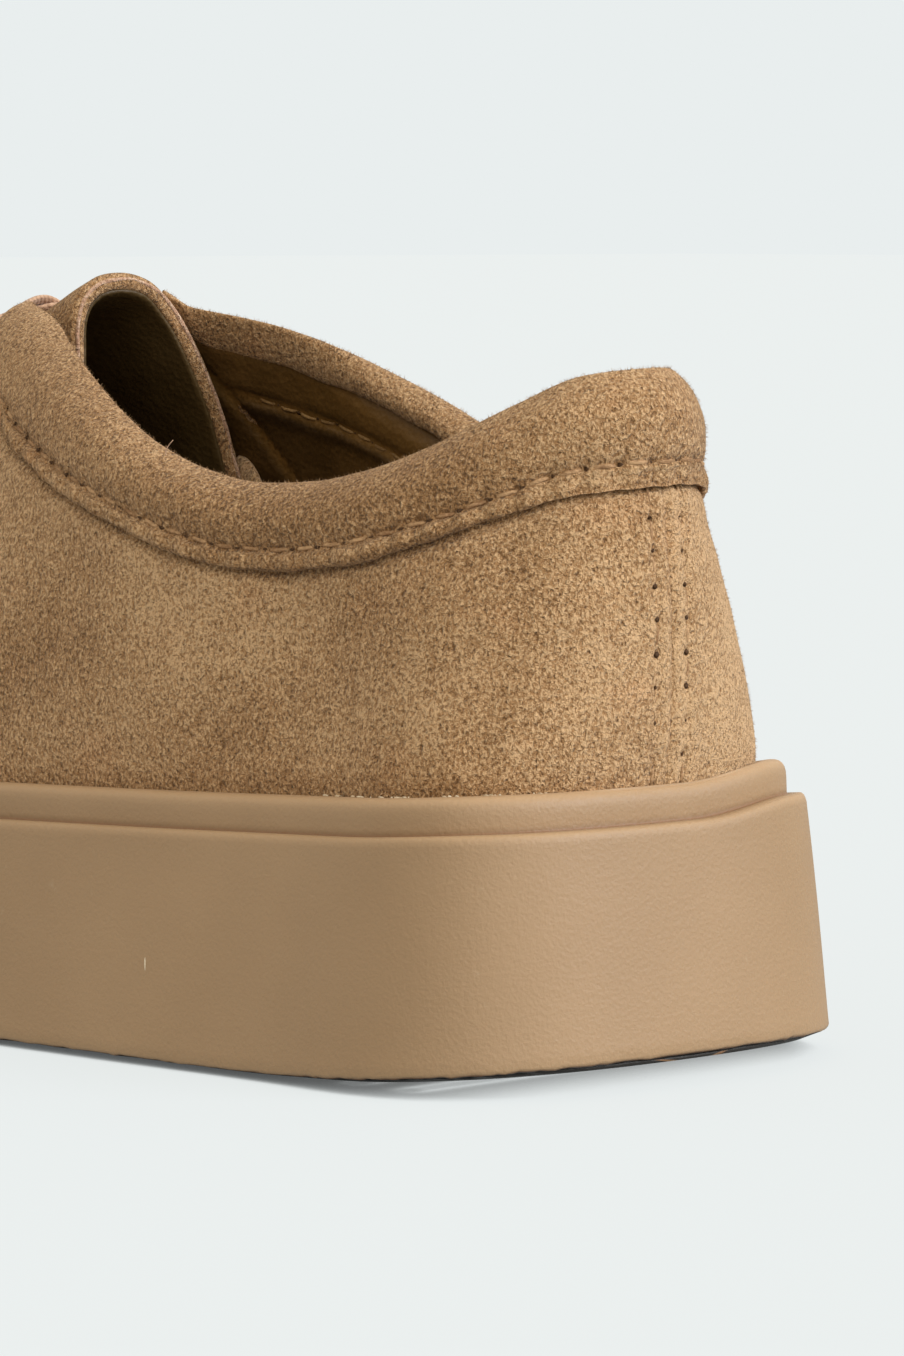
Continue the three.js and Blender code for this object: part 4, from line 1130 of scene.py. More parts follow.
# ------------------------------------------------------------------ vamp
def make_vamp():
    nb = 150
    f = np.linspace(-1, 1, nb)
    k = np.abs(f)
    side = np.where(f >= 0, 1.0, -1.0)
    B = f
    # rear boundary: the throat's end at the crown, under the quarters at the sides
    k_c = 0.16
    v = np.clip(1 - (k - k_c) / (1 - k_c), 0, 1)
    rear = front_edge(v) - 8.0
    crown = 181.2 - 6.0 * (k / k_c) ** 2
    rear = np.where(k < k_c, np.maximum(crown, rear), rear)
    rear = np.where(k < k_c, rear, rear)
    m = 190
    tau = np.linspace(0, 1, m)
    ud = np.linspace(float(u_of(150)), 3, 1400)
    crown_path = skin(ud, np.full(1400, 0.55))
    arc = np.concatenate([[0], np.cumsum(np.linalg.norm(np.diff(crown_path, axis=0), axis=1))])
    ur = u_of(rear)
    a0 = np.interp(ur, ud, arc)
    A = a0[None] + (arc[-1] - a0[None]) * tau[:, None]
    U = np.interp(A, arc, ud)
    U[-1] = 3.0
    Bg = B[None] + 0 * U
    # rows into the cup on both sides
    s = station(U[:, 0])[0]
    deep = 1 + (rim_z(s) - (cup_floor(s) + GAP)) / DOWN
    lv = np.linspace(0, 1, 5)[:-1]
    low = deep[:, None] * (1 - lv) + lv
    U = np.concatenate([U[:, :1] + 0 * low, U, U[:, -1:] + 0 * low], 1)
    Bg = np.concatenate([-low, Bg, low[:, ::-1]], 1)
    P = skin(U, Bg)
    N = normal(U, Bg)
    foot = P[..., 2] - rim_z(P[..., 0])
    live = smooth(-1, 5, foot) * smooth(3.0, 2.85, U)
    # flex folds of the forefoot: soft, because the shoe is unworn
    h = live * (0.13 * ripple(P) + 0.05 * dimple(P))
    tone = 0.14 * drift(P)
    for s0, bow, depth, width in ((205, 6, -0.30, 3.2), (213, 7, 0.22, 4.0), (222, 8, -0.34, 3.4), (232, 9, 0.18, 4.5), (241, 10, -0.20, 3.6)):
        x = P[..., 0] - (s0 - bow * (Bg * 0.9) ** 2)
        amt = live * np.exp(-((np.abs(Bg) - 0.25) / 0.55) ** 2)
        h = h + depth * bump(x, width) * amt
        # the folds' tone: painted shade in the troughs, painted highlight on the ridges
        tone = tone + 0.5 * depth * bump(x, width) * amt
    h = h - 0.22 * bump(foot - 0.6, 2.0)
    # painted shade just above the rim
    tone = tone - 0.35 * bump(foot, 1.6)
    O = P + N * h[..., None]
    I = P - N * (WALL - 0.0)
    V, F = shell(O, I, bulge=0.3)
    ob = build("vamp_suede", V, F, suede, tone=shell_values(tone, *O.shape[:2], len(V)))
    return ob


# ------------------------------------------------------------------ collar band
def smooth_section(C, per=3):
    """Catmull-Rom through control points C (stations x points x 2)"""
    n = C.shape[1]
    out = []
    for i in range(n - 1):
        p0, p1, p2, p3 = C[:, max(i - 1, 0)], C[:, i], C[:, i + 1], C[:, min(i + 2, n - 1)]
        for t in np.arange(per) / per:
            out.append(0.5 * (2 * p1 + (p2 - p0) * t + (2 * p0 - 5 * p1 + 4 * p2 - p3) * t * t + (3 * p1 - p0 - 3 * p2 + p3) * t ** 3))
    out.append(C[:, -1])
    return np.stack(out, 1)


STITCH = 2.75   # the stitch row's height above the band's lower edge


def heel_pad(s):
    """the padding thins out round the heel's back, so that the mouth stays round there"""
    return pad_at(s) * (1 - 0.42 * smooth(34, 7, s))


def collar_path(step=0.72):
    ud = np.linspace(0, float(u_of(COLLAR_END)), 1200)
    us = {}
    for side in (1, -1):
        z = top_z(ud, side)
        p = skin(ud, b_of(ud, side, z))
        marks, arc = even(p, [], step)
        us[side] = np.interp(marks, arc, ud)
    return us


NAP = []


def nap_fibres(p, n, short, long, radius, rnd):
    """thin closed spikes standing on a surface"""
    n = unit(n + rnd.normal(size=n.shape) * 0.55)
    a = unit(np.cross(n, rnd.normal(size=n.shape)))
    b = np.cross(n, a)
    base = p - n * 0.12
    h = rnd.uniform(short, long, len(p))[:, None]
    ring = [base + radius * (math.cos(t) * a + math.sin(t) * b) for t in (0, 2.094, 4.189)]
    NAP.append(np.stack(ring + [p + n * h], 1))


def make_collar(threads, holes):
    us = collar_path()
    parts = []
    for side in (1, -1):
        u = us[side]
        dn = Down(u, side)
        parts.append((side, u, dn))
    # arc along the band, for the stitch pitch
    seq_u = np.concatenate([us[1][::-1], us[-1][1:]])
    seq_side = np.concatenate([np.ones(len(us[1])), -np.ones(len(us[-1]) - 1)])
    s_top = np.concatenate([parts[0][2].s[::-1], parts[1][2].s[1:]])
    b = band_width(s_top)

    def b_for(D):
        lat = parts[0][2].b(D[:len(us[1])][::-1])[::-1]
        med = parts[1][2].b(np.concatenate([D[len(us[1]) - 1:len(us[1])], D[len(us[1]):]]))[1:]
        return np.concatenate([lat, med])
    row_b = b_for((b - STITCH)[:, None])
    row_p = skin(seq_u[:, None], row_b)[:, 0]
    arc = np.concatenate([[0], np.cumsum(np.linalg.norm(np.diff(row_p, axis=0), axis=1))])
    pitch = 4.55
    count = int(round(arc[-1] / pitch))
    pitch = arc[-1] / count
    ph = np.cos(2 * np.pi * arc / pitch)           # 1 at the holes
    z0, one = 0 * b, 1 + 0 * b
    pad = heel_pad(s_top)
    tuck = smooth(26, 9, s_top)
    jit = Waves(21, 9)(row_p)
    jit2 = Waves(22, 24)(row_p)
    margin = 1.22 + 0.18 * jit + 0.50 * (1 - ph) * 0.5 - 0.92 * tuck
    valley = 0.98 - 0.42 * np.maximum(0, ph) ** 2 - 0.12 * tuck
    raw = b + 0.22 * jit + 0.14 * (1 - ph) * 0.5 + 0.5 * tuck
    full = 2.06 + 0.12 * jit2 + 0.10 * jit - 0.15 * tuck
    slot_d = np.maximum(band_at(s_top) - 8.2, 3.4)
    roll = 4.4 + 2.4 * smooth(80, 104, s_top) + 1.2 * smooth(50, 20, s_top)
    ctrl = [
        (raw, 0.30 * one), (raw + 0.03, 0.72 * one), (raw - 0.22, margin - 0.14), (raw - 0.95, margin + 0.12),
        (raw - 1.9, margin + 0.10), (b - STITCH + 0.62, valley + 0.22), (b - STITCH, valley), (b - STITCH - 0.62, valley + 0.30),
        (b - STITCH - 1.7, 0.5 * (valley + full) + 0.22), (0.52 * b, full + 0.05), (0.38 * b, full - 0.12 + 0.01 * pad),
        (0.25 * b, 1.45 - 0.03 * pad + 0.1 * jit2), (0.145 * b, 0.86 - 0.09 * pad), (0.062 * b, 0.30 - 0.20 * pad),
        (0.10 * one, -0.02 - 0.34 * pad), (z0, -0.50 * pad), (0.28 * one, -0.70 * pad), (0.95 * one, -0.87 * pad),
        (0.33 * roll, -0.99 * pad - 0.1), (0.53 * roll, -1.05 * pad - 0.2), (0.74 * roll, -1.04 * pad - 0.25), (0.90 * roll + 0.2 * jit, -0.99 * pad - 0.25),
        (roll + 0.3 * jit, -0.90 * pad - 0.15), (roll + 0.08 + 0.3 * jit, -0.74 * pad), (roll - 0.3, -0.66 * pad),
        (np.maximum(slot_d, 0.72 * roll), -0.52 * pad), (slot_d + 0.05, -0.25 * pad), (slot_d, 0.05 * one), (slot_d + 0.5, 0.30 * one), (raw - 2.0, 0.30 * one),
    ]
    C = np.stack([np.stack(c, -1) for c in ctrl], 1)
    D = smooth_section(C, 2)
    d, out = D[..., 0], D[..., 1]
    d = np.maximum(d, 0)
    bb = b_for(d)
    P0 = skin(seq_u[:, None] + 0 * bb, bb)
    N0 = normal(seq_u[:, None] + 0 * bb, bb)
    P = P0 + N0 * out[..., None]
    # the inner side's corner stands up a little, the outer side's reaches forward
    P[..., 2] += 3.4 * (smooth(115, 122.5, s_top) * (seq_side < 0))[:, None] * np.clip(1 - d / (0.6 * b[:, None]), 0, 1)
    ahead = (smooth(106, 121, s_top) * (seq_side > 0))[:, None] * np.clip(1.05 - d / b[:, None], 0, 1)
    P[..., 0] += 3.6 * ahead
    P[..., 1] += 0.8 * ahead
    P[..., 2] += 1.1 * ahead
    outer = (out > -2.2)
    rel = (0.10 * ripple(P) + 0.05 * dimple(P)) * smooth(0.8, 2.5, np.abs(d - b[:, None]))
    P = P + N0 * (rel * np.where(d < b[:, None] - STITCH - 1, 1, 0.3))[..., None]
    # rounded front ends
    m, n = P.shape[:2]
    rings = [P[i] for i in range(m)]
    for end, order in ((0, -1), (m - 1, 1)):
        tan = unit(P[end].mean(0) - P[end - order * 3].mean(0))
        mid = (P0[end] + N0[end] * 0.3)
        extra = []
        for a in (25, 50, 70, 84):
            r = math.radians(a)
            q = mid + (P[end] - mid) * math.cos(r)
            extra.append(q + tan * 1.9 * math.sin(r) - N0[end] * 0.5 * (1 - math.cos(r)))
        rings = (extra[::-1] + rings) if order < 0 else (rings + extra)
    G = np.array(rings)
    M = len(G)
    V = G.reshape(-1, 3)
    i, j = np.meshgrid(np.arange(M - 1), np.arange(n), indexing="ij")
    F = np.stack([i * n + j, (i + 1) * n + j, (i + 1) * n + (j + 1) % n, i * n + (j + 1) % n], -1).reshape(-1, 4).tolist()
    for base, fl in ((0, True), ((M - 1) * n, False)):
        h = n // 2
        for k in range(h - 1 + (n % 2)):
            f = [base + k, base + k + 1, base + n - 2 - k, base + n - 1 - k]
            f = [x for kk, x in enumerate(f) if x not in f[:kk]]
            if len(f) >= 3:
                F.append(f[::-1] if fl else f)
    # tone of the band: painted shade in the stitch valley, deepest at the holes, and just under the band's lower edge;
    # painted highlight on the margin below the stitches and along the top edge
    tone = np.zeros((m, n))
    dd, oo = d, out
    tone += -0.75 * bump(dd - (b - STITCH - 0.15)[:, None], 0.55) * (oo > 0.3) * (0.35 + 0.65 * np.maximum(0, ph)[:, None] ** 2)
    tone += 0.30 * bump(dd - (b - 1.3)[:, None], 1.1) * (oo > 0.5)
    tone += -0.25 * bump(dd - (b + 0.05)[:, None], 0.35)
    tone += 0.12 * bump(dd - 0.3, 1.8)
    base_tone = 0.12 * drift(P) + 0.05
    front = smooth(80, 112, s_top)[:, None] * (seq_side > 0)[:, None]
    base_tone = base_tone - 0.22 * bump(s_top[:, None] - 62, 22) * (seq_side > 0)[:, None] + 0.05 * front
    # lighter towards the heel's back: painted highlight
    base_tone = base_tone + 0.12 * smooth(30, 12, s_top)[:, None]
    tone = tone + base_tone
    tone = np.concatenate([np.repeat(tone[:1], 4, 0), tone, np.repeat(tone[-1:], 4, 0)])
    ob = build("collar_band", V, F, suede, tone=tone)
    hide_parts("collar")
    # short loose fibres of the nap, seen where the band turns away
    rnd = np.random.RandomState(7)
    M_, N_ = P.shape[:2]
    cnt = 15000
    ii, jj = rnd.randint(1, M_ - 1, cnt), rnd.randint(4, int(N_ * 0.74), cnt)
    at_p = P[ii, jj] + (P[ii + 1, jj] - P[ii, jj]) * rnd.uniform(0, 1, cnt)[:, None] + (P[ii, jj + 1] - P[ii, jj]) * rnd.uniform(0, 1, cnt)[:, None]
    nn = unit(np.cross(P[ii + 1, jj] - P[ii - 1, jj], P[ii, jj + 1] - P[ii, jj - 1]))
    ctr = P[ii].mean(1)
    nn = nn * np.sign(((P[ii, jj] - ctr) * nn).sum(-1))[:, None]
    nap_fibres(at_p, nn, 0.30, 0.62, 0.045, rnd)
    # its stitches lie in the valley
    rp = row_p + normal(seq_u[:, None], row_b)[:, 0] * (valley - 0.02)[:, None]
    rn = normal(seq_u[:, None], row_b)[:, 0]
    stitch_row(threads, holes, rp, rn, pitch, radius=0.31, gap=1.5, lift=-0.05, seed=31, hole=0.52, jitter=0.12)
    return ob


# ------------------------------------------------------------------ lining
def make_lining():
    grids, info = [], []
    for side in (1, -1):
        U, B, vv, length = wall_columns(side, back_off=8.6, top="tuck", rows=58, throat_extra=0.9, seam=False, step=1.1, count=60)
        U, B = with_foot(U, B, low_extra=INSOLE - 0.8, levels=4)
        P = skin(U, B)
        N = normal(U, B)
        L = np.linalg.norm(np.diff(P, axis=1), axis=-1)
        down = np.concatenate([np.cumsum(L[:, ::-1], 1)[:, ::-1], np.zeros((len(P), 1))], 1) + 5.2
        s_top = P[:, -1, 0]
        pad = heel_pad(s_top)[:, None]
        ff = smooth(34, 7, down)
        depth = WALL + 0.05 + (np.maximum(pad - WALL, -0.35)) * ff * (0.86 + 0.14 * smooth(5.2, 8.5, down))
        depth = np.where(down < 6.9, depth - 0.55 * smooth(6.9, 5.4, down), depth)
        foot = P[..., 2] - rim_z(P[..., 0])
        depth = np.where(P[..., 0] > COLLAR_FRONT, WALL, depth)
        rel = 0.16 * ripple(P + 40) + 0.07 * dimple(P + 40)
        # darker towards the front, deep inside the shoe: painted shade
        tone = 0.25 * drift(P + 40) - 0.5 * smooth(95, 110, P[..., 0])
        # a welted seam along the side, and a ridge that runs down to the front from it; in the tone the welt and the
        # ridge get painted highlight, with painted shade just below the welt and lighter above it
        row = 12.0 + 2.3 * smooth(84, 106, P[..., 0])
        span = smooth(22, 30, P[..., 0]) * smooth(116, 112, P[..., 0])
        a = bump(down - row, 0.75) * span
        rel = rel + 0.85 * a - 0.35 * bump(down - row - 1.7, 0.8) * span
        tone = tone + 1.3 * a - 0.6 * bump(down - row - 1.9, 0.9) * span + 0.35 * smooth(row - 1.0, row - 3.0, down) * span
        if side < 0:
            e = bump((P[..., 0] - (118.3 - 0.72 * (down - 11.6))) * 0.81, 0.85) * smooth(10.5, 12, down) * smooth(30, 24, down)
            rel = rel + 0.85 * e
            tone = tone + 1.2 * e
            jr = np.argmin(np.abs(down - row), axis=1)
            ii = np.where((P[np.arange(len(P)), jr, 0] > 26) & (P[np.arange(len(P)), jr, 0] < 112.5))[0]
            seam_pts = (P - N * (depth - rel)[..., None])[ii, jr[ii]]
            k = np.ones(9) / 9
            pad_pts = np.pad(seam_pts, ((4, 4), (0, 0)), mode="edge")
            seam_pts = np.stack([np.convolve(pad_pts[:, c], k, "valid") for c in range(3)], -1)
            stitch_row(lining_threads, holes, seam_pts, -N[ii, jr[ii]], 3.7, radius=0.27, gap=1.0, lift=0.08, seed=77, hole=0.3)
        back = 1 - np.maximum(0, 1 - U / 0.25)
        rel = rel + 0.25 * bump((P[..., 1] - HEEL_CENTRE), 1.0) * (U < 0.5)
        O = P - N * (depth + rel * 0 + 0.0)[..., None]
        grids.append((P - N * (depth - rel)[..., None] * 1.0, P - N * (np.maximum(depth - 0.75, 1.30))[..., None], tone))
    inside = np.concatenate([grids[0][0][::-1], grids[1][0][1:]])
    outside = np.concatenate([grids[0][1][::-1], grids[1][1][1:]])
    tone = np.concatenate([grids[0][2][::-1], grids[1][2][1:]])
    V, F = shell(inside, outside, bulge=0.3)
    return build("quarter_lining", V, F, lining, tone=shell_values(tone, *inside.shape[:2], len(V)))


# ------------------------------------------------------------------ footbed
def make_footbed():
    u = np.concatenate([np.linspace(0, 1, 34)[:-1], np.linspace(1, 2, 60)[:-1], np.linspace(2, 3, 40)])
    lat = inner(u, 1.35, np.full(len(u), WALL + GAP + 0.1))[:, :2]
    med = inner(u, -1.35, np.full(len(u), WALL + GAP + 0.1))[:, :2]
    x = np.sin(np.linspace(-1, 1, 37) * np.pi / 2)
    f = (x + 1) / 2
    G = lat[:, None] * f[None, :, None] + med[:, None] * (1 - f[None, :, None])
    s = G[..., 0]
    top = cup_floor(s) + GAP + INSOLE
    edge = np.abs(x)[None] ** 3
    heel = smooth(70, 20, s)
    top = top + 1.6 * edge - 0.7 * (1 - edge) * heel + 1.8 * smooth(60, 120, s) * smooth(190, 140, s) * np.maximum(0, -x)[None] ** 2
    bottom = cup_floor(s) + GAP * 0.5
    O = np.concatenate([G, top[..., None]], -1)
    O[..., 2] += 0.12 * ripple(O + 70)
    I = np.concatenate([G, bottom[..., None]], -1)
    V, F = shell(O, I, bulge=0.0, steps=1)
    ob = build("footbed", V, F, footbed_leather, tone=shell_values(0.3 * drift(O), *O.shape[:2], len(V)))
    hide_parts("insole")
    return ob


# ------------------------------------------------------------------ tongue
# the free end's outer edge, inner side to outer side: w, z
TONGUE_END = [(-20.9, 74.5), (-20.0, 77.5), (-18.1, 82.5), (-15.4, 88.0), (-12.9, 92.8), (-10.3, 97.2), (-7.9, 100.0), (-5.5, 102.1),
              (-2.9, 103.5), (0.6, 104.3), (4.3, 104.2), (6.9, 103.3), (9.1, 101.3), (10.4, 98.0), (10.8, 93.5), (11.0, 88.0),
              (11.8, 82.0), (13.4, 76.5)]


def make_tongue():
    s = np.concatenate([np.linspace(115.8, 122, 9), np.linspace(122, 189, 52)[1:]])
    u = u_of(s)
    low = np.maximum(top_at(s) - 31.0, rim_z(s) + 6)
    bl = np.abs(b_of(u, 1, low))
    x = np.linspace(-1, 1, 85)
    B = bl[:, None] * x[None]
    U = u[:, None] + 0 * B
    P, N = skin(U, B), normal(U, B)
    crown = np.exp(-(B / 0.30) ** 2)
    inset = 2.5 - 2.0 * crown * smooth(176, 150, s)[:, None]
    O = P - N * inset[..., None]
    # the free end stands up as an arch with steep legs
    arch = np.array(TONGUE_END, float)
    top = int(np.argmax(arch[:, 1]))

    def share(line, f):
        arc = np.concatenate([[0], np.cumsum(np.linalg.norm(np.diff(line, axis=0), axis=1))])
        return np.stack([np.interp(f * arc[-1], arc, line[:, c]) for c in (0, 1)], -1)
    fine = smooth_section(arch[None], 8)[0]
    top = int(np.argmax(fine[:, 1]))
    half = len(x) // 2
    med = share(fine[:top + 1][::-1], -x[:half + 1][::-1])[::-1]
    lat = share(fine[top:], x[half:])
    E = np.concatenate([med, lat[1:]])
    E = np.column_stack([np.zeros(len(E)), E])
    drop = (top_at(s) - top_at(116.0))[:, None]
    target = np.stack([s[:, None] + 0 * U, E[None, :, 1] + (form_centre(s) - form_centre(116.0))[:, None], E[None, :, 2] + drop], -1)
    go = smooth(139, 118, s)[:, None, None]
    O = O * (1 - go) + target * go
    rear = smooth(124, 115.8, s)[:, None]
    O[..., 0] -= 0.6 * Waves(43, 22)(O) * rear
    n = unit(np.cross(np.gradient(O, axis=0), np.gradient(O, axis=1)))
    n = n * np.sign(n[:, half:half + 1, 2:3])
    O = O + n * (0.14 * Waves(41, 14)(O) * rear)[..., None]
    O[..., 1] += 0.9 * go[..., 0]
    M = O - n * 2.5
    I = O - n * 3.15
    V, F = shell(O, M, bulge=0.28)
    rows, cols = O.shape[:2]
    tone = shell_values(0.15 * drift(P) - 0.15, rows, cols, len(V))
    tone = np.where(np.arange(len(V)) >= 2 * rows * cols, tone + 0.15, tone)
    ob = build("tongue_suede", V, F, suede, tone=tone)
    M2 = O - n * 2.55
    back = 0.35
    M2[:, :, 0] += back * (s[:, None] < 116.0)
    I[:, :, 0] += back * (s[:, None] < 116.0)
    V, F = shell(I, M2, bulge=0.45)
    ob2 = build("tongue_lining", V, F, tongue_lining, tone=shell_values(0.2 * drift(P), rows, cols, len(V)))
    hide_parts("tongue")
    # a scrap of the suede gusset shows beside the foot of the inner leg
    a, b = np.meshgrid(np.linspace(0, 2 * np.pi, 25), np.linspace(-np.pi / 2, np.pi / 2, 13), indexing="ij")
    X = np.stack([5.8 * np.cos(b) * np.cos(a), 1.3 * np.cos(b) * np.sin(a), 3.4 * np.sin(b)], -1)
    X = X + 0.42 * Waves(47, 3)(X)[..., None] * np.array([0.3, 0.6, 1.0])
    X[..., 2] += 0.62 * X[..., 0]
    X = X @ np.array([[0.97, -0.25, 0.0], [0.25, 0.95, 0.1], [0.0, -0.1, 0.98]]) + np.array([113.4, -20.0, 73.0])
    f = quads(*X.shape[:2])
    build("tongue_gusset", X.reshape(-1, 3), [list(map(int, q)) for q in f], suede, tone=0.65 + 0 * X[..., 0])
    # the raw edge's light ridge
    bead = Joined()
    R = O[0] * 0.64 + M[0] * 0.36
    R = R + np.array([-0.62, 0, 0]) + n[0] * (0.20 * Waves(46, 6)(R))[:, None]
    nrm = n[0]
    bead.tube(R, 0.30 + 0.10 * Waves(44, 5)(R), nrm, flat=1.0, sides=8, tone=0.1)
    build("tongue_edge", np.concatenate(bead.V), bead.F, raw_edge, tone=np.concatenate(bead.tone) + 0.25 * Waves(45, 4)(np.concatenate(bead.V)))
    return ob


# ------------------------------------------------------------------ laces
def make_laces():
    V, F, run, across, count = [], [], [], [], 0
    sect = np.array([(math.copysign(abs(math.cos(a)) ** 0.55, math.cos(a)), math.copysign(abs(math.sin(a)) ** 0.8, math.sin(a)))
                     for a in np.linspace(0, 2 * np.pi, 17)[:-1]])

    def strap(a, b, over, seed):
        nonlocal count
        n = 46
        x = np.linspace(0, 1, n)
        s = a[0] + (b[0] - a[0]) * x
        w = a[1] + (b[1] - a[1]) * x
        P, N = skin_at(s, w)
        length = math.hypot(a[0] - b[0], a[1] - b[1])
        e = np.minimum(x, 1 - x) * length
        # it comes up out of the eyelet, stands a little and settles on the tongue
        lift = -1.6 + (1.6 + 2.35) * smooth(0.0, 4.6, e) - 1.05 * smooth(6, 13, e) + over * bump((x - 0.5) * length, 5.5)
        lift = lift + (2.7 * bump(x * length - 3.2, 3.0) if seed == 21 else 0)
        width = 3.1 * (0.62 + 0.38 * smooth(0.5, 6.5, e))
        C = P + N * lift[:, None]
        tan = unit(np.gradient(C, axis=0))
        sd = unit(np.cross(tan, N))
        up = np.cross(sd, tan)
        ring = C[:, None] + sd[:, None] * (width[:, None] * sect[None, :, 0])[..., None] + up[:, None] * (0.55 * sect[None, :, 1])[..., None]
        k = len(sect)
        V.append(ring.reshape(-1, 3)); V.append(C[:1]); V.append(C[-1:])
        ar = np.concatenate([[0], np.cumsum(np.linalg.norm(np.diff(C, axis=0), axis=1))])
        run.append(np.repeat(ar, k)); run.append([0.0]); run.append([ar[-1]])
        across.append((width[:, None] * sect[None, :, 0]).reshape(-1)); across.append([0.0, 0.0])
        for i in range(n - 1):
            for j in range(k):
                p, q = count + i * k + j, count + i * k + (j + 1) % k
                F.append([p, q, q + k, p + k])
        c0, c1 = count + n * k, count + n * k + 1
        for j in range(k):
            F.append([c0, count + (j + 1) % k, count + j])
            F.append([c1, count + (n - 1) * k + j, count + (n - 1) * k + (j + 1) % k])
        count += n * k + 2
    hole = lambda i, side: (EYELETS[i, 0], float(form_centre(EYELETS[i, 0]) + side * (throat_half(EYELETS[i, 0]) + EYELETS[i, 1] * 0.8)))
    strap(hole(3, 1), hole(3, -1), 0.0, 1)
    for i in (3, 2, 1):
        strap(hole(i, 1), hole(i - 1, -1), 0.0, i)
        strap(hole(i - 1, 1), hole(i, -1), 1.25, 20 + i)
    ob = build("laces_woven", np.concatenate(V), F, lace_weave,
               extra={"run": np.concatenate(run), "across": np.concatenate(across)})
    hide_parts("laces")
    return ob


def make_eyelets():
    J = Joined()
    for s, side, w in EYELET_PLACES:
        p, n = skin_at(np.array(s), np.array(w))
        u = float(u_of(s))
        lift = float(raise_front(p[None], None, side)[0])
        p = p + n * lift
        a = unit(np.cross(n, [0, 0.2, 0.97]))
        b = np.cross(n, a)
        prof = [(0.0, -0.95), (1.75, -0.95), (1.9, -0.2), (2.05, 0.12), (2.35, 0.30), (2.7, 0.32), (3.0, 0.16), (3.1, -0.15), (2.2, -0.6), (2.1, -1.2), (0.0, -1.2)]
        k = 24
        t = np.arange(k) * 2 * np.pi / k
        rings = [p + r * (np.cos(t)[:, None] * a + np.sin(t)[:, None] * b) + n * h for r, h in prof]
        V = np.concatenate(rings)
        F = [[i * k + j, i * k + (j + 1) % k, (i + 1) * k + (j + 1) % k, (i + 1) * k + j] for i in range(len(prof) - 1) for j in range(k)]
        J.add(V, F)
    V = np.concatenate(J.V)
    # the whole eyelet, floor included, is in the darker eyelet suede: painted shade
    return build("eyelet_rims", V, J.F, eyelet_rim, tone=0 * V[:, 0])


# ------------------------------------------------------------------ the shoe
threads, holes, lining_threads = Joined(), Joined(), Joined()
make_sole()
q_lat, data_lat = make_quarter(1, "quarter_outer")
q_med, data_med = make_quarter(-1, "quarter_inner")
vamp = make_vamp()
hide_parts("upper")
make_collar(threads, holes)
make_lining()
make_footbed()
make_tongue()
make_laces()
make_eyelets()
quarter_rows(threads, holes, data_lat, 1)
quarter_rows(threads, holes, data_med, -1)
# the two rows beside the back seam
for side in (1, -1):
    zz = np.linspace(37.6, 78.2, 120)
    uu = []
    for z in zz:
        ud = np.linspace(0, 0.8, 200)
        p = skin(ud, b_of(ud, side, np.full(200, z)))
        a = np.abs(p[:, 1] - HEEL_CENTRE)
        uu.append(np.interp(2.75, a, ud))
    uu = np.array(uu)
    bb = b_of(uu, side, zz)
    pts, nrm = skin(uu, bb), normal(uu, bb)
    stitch_row(threads, holes, pts - nrm * 0.30, nrm, 4.4, radius=0.24, gap=1.7, lift=0.0, seed=50 + side, hole=0.46, jitter=0.12)
# nap on the quarters
rnd = np.random.RandomState(8)
for (U_, B_, P_, N_, lift_, h_) in (data_lat, data_med):
    S_ = P_ + N_ * (lift_ + h_)[..., None]
    i, j = rnd.randint(1, S_.shape[0] - 1, 11000), rnd.randint(6, S_.shape[1] - 8, 11000)
    f, g = rnd.uniform(0, 1, (2, 11000))
    at_p = S_[i, j] + (S_[i + 1, j] - S_[i, j]) * f[:, None] + (S_[i, j + 1] - S_[i, j]) * g[:, None]
    nap_fibres(at_p, N_[i, j], 0.22, 0.48, 0.04, rnd)
nap = np.concatenate(NAP)
q = np.arange(len(nap))[:, None] * 4
F = np.concatenate([q + np.array([0, 2, 1]), q + np.array([0, 1, 3]), q + np.array([1, 2, 3]), q + np.array([2, 0, 3])])
build("suede_nap", nap.reshape(-1, 3), F.tolist(), suede, tone=np.full(len(nap) * 4, 0.3), flip=False)
# a stray fibre on the collar's edge
stray = Joined()
t = np.linspace(0, 1, 9)[:, None]
foot = skin(u_of(np.array([STRAY_S])), b_of(u_of(np.array([STRAY_S])), 1, top_z(u_of(np.array([STRAY_S])), 1)))[0]
line = foot + np.array([0.0, 0.5, -0.3]) + t * np.array([-1.1, -0.5, 2.1]) + np.sin(t * 3.0) * np.array([0.35, 0.1, 0.0])
stray.tube(line, 0.085 * (1 - 0.4 * t[:, 0]), np.tile([0.3, 0.9, 0.1], (9, 1)), sides=6, tone=0.6)
build("stray_fibre", np.concatenate(stray.V), stray.F, lace_weave,
      tone=np.concatenate(stray.tone), extra={"run": 0 * np.concatenate(stray.tone), "across": 0 * np.concatenate(stray.tone)}, flip=False)
build("lining_stitching", np.concatenate(lining_threads.V), lining_threads.F, lining_thread,
      tone=np.concatenate(lining_threads.tone), flip=False)
build("stitching", np.concatenate(threads.V), threads.F, thread, tone=np.concatenate(threads.tone), flip=False)
# the needle holes are dark discs: painted shade
build("needle_holes", np.concatenate(holes.V), holes.F, hole_dark, tone=np.concatenate(holes.tone), flip=False)


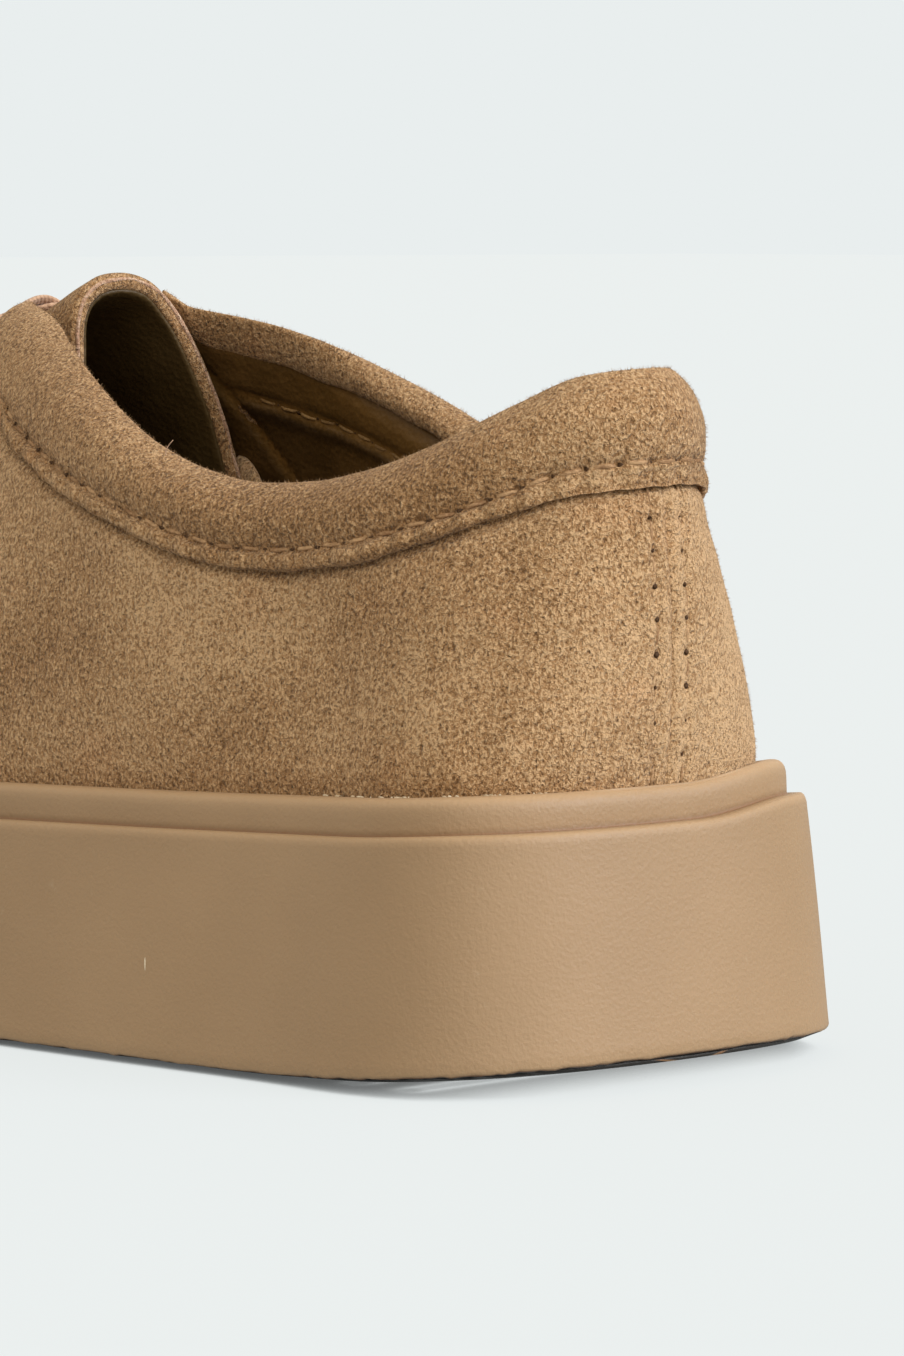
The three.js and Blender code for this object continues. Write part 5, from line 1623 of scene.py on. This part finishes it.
# ------------------------------------------------------------------ stage
def make_stage():
    m = bpy.data.materials.new("pale_floor")
    m.use_nodes = True
    nt = m.node_tree
    nt.nodes.clear()
    out = nt.nodes.new("ShaderNodeOutputMaterial")
    em = nt.nodes.new("ShaderNodeEmission")
    df = nt.nodes.new("ShaderNodeBsdfDiffuse")
    add = nt.nodes.new("ShaderNodeMixShader")
    # ambient occlusion dims the floor's glow beside the shoe: a painted contact shadow
    ao = nt.nodes.new("ShaderNodeAmbientOcclusion")
    ao.inputs["Distance"].default_value = 0.0035
    ao.samples = 8
    ramp = nt.nodes.new("ShaderNodeMapRange")
    for k, x in (("From Min", 0.05), ("From Max", 0.62), ("To Min", 0.10), ("To Max", 1.0)):
        ramp.inputs[k].default_value = x
    nt.links.new(ao.outputs["AO"], ramp.inputs["Value"])
    em.inputs["Color"].default_value = (*lin(233, 238, 238), 1)
    # the floor shines less on the shoe than it looks
    seen = nt.nodes.new("ShaderNodeLightPath").outputs["Is Camera Ray"]
    share = calc(nt, "MULTIPLY_ADD", seen, 0.56, 0.44)
    nt.links.new(calc(nt, "MULTIPLY", ramp.outputs[0], share), em.inputs["Strength"])
    df.inputs["Color"].default_value = (0.80, 0.83, 0.83, 1)
    add.inputs[0].default_value = 0.12
    nt.links.new(em.outputs[0], add.inputs[1])
    nt.links.new(df.outputs[0], add.inputs[2])
    nt.links.new(add.outputs[0], out.inputs["Surface"])
    me = bpy.data.meshes.new("floor")
    r = 14.0
    me.from_pydata([(-r, -r, -0.0002), (r, -r, -0.0002), (r, r, -0.0002), (-r, r, -0.0002)], [], [(0, 1, 2, 3)])
    me.materials.append(m)
    floor = bpy.data.objects.new("floor", me)
    bpy.context.scene.collection.objects.link(floor)

    world = bpy.data.worlds.new("studio")
    bpy.context.scene.world = world
    world.use_nodes = True
    bg = world.node_tree.nodes["Background"]
    wt = world.node_tree
    seen = wt.nodes.new("ShaderNodeLightPath").outputs["Is Camera Ray"]
    wt.links.new(mix(wt, seen, (0.825, 0.77, 0.665), lin(233, 238, 238)), bg.inputs["Color"])
    bg.inputs["Strength"].default_value = 1.0

    def sun(name, direction, energy, angle, color=(1, 1, 1)):
        li = bpy.data.lights.new(name, "SUN")
        li.energy, li.angle, li.color = energy, math.radians(angle), color
        ob = bpy.data.objects.new(name, li)
        ob.rotation_mode = "QUATERNION"
        ob.rotation_quaternion = Vector(direction).to_track_quat("Z", "Y")
        bpy.context.scene.collection.objects.link(ob)
    sun("key", (-0.46, 0.80, 0.48), 1.98, 36, (0.955, 0.995, 1.09))
    sun("soft_side", (0.30, 0.85, 0.50), 0.70, 60, (1.0, 0.99, 0.97))
    bpy.context.scene.view_settings.view_transform = "Standard"
    bpy.context.scene.view_settings.look = "None"

    cam = bpy.data.cameras.new("camera")
    cam.sensor_width = 36.0
    cam.lens = 5696.0 * 36.0 / 1356.0
    cam.clip_start, cam.clip_end = 0.05, 60
    ob = bpy.data.objects.new("camera", cam)
    ob.location = (0.5175, 0.6707, 0.1116)
    ob.rotation_mode = "QUATERNION"
    ob.rotation_quaternion = Vector((-0.67222, -0.73606, -0.07968)).to_track_quat("-Z", "Y")
    bpy.context.scene.collection.objects.link(ob)
    bpy.context.scene.camera = ob


make_stage()
print("TRIANGLES", json.dumps(TRIANGLES), "total", sum(TRIANGLES.values()))
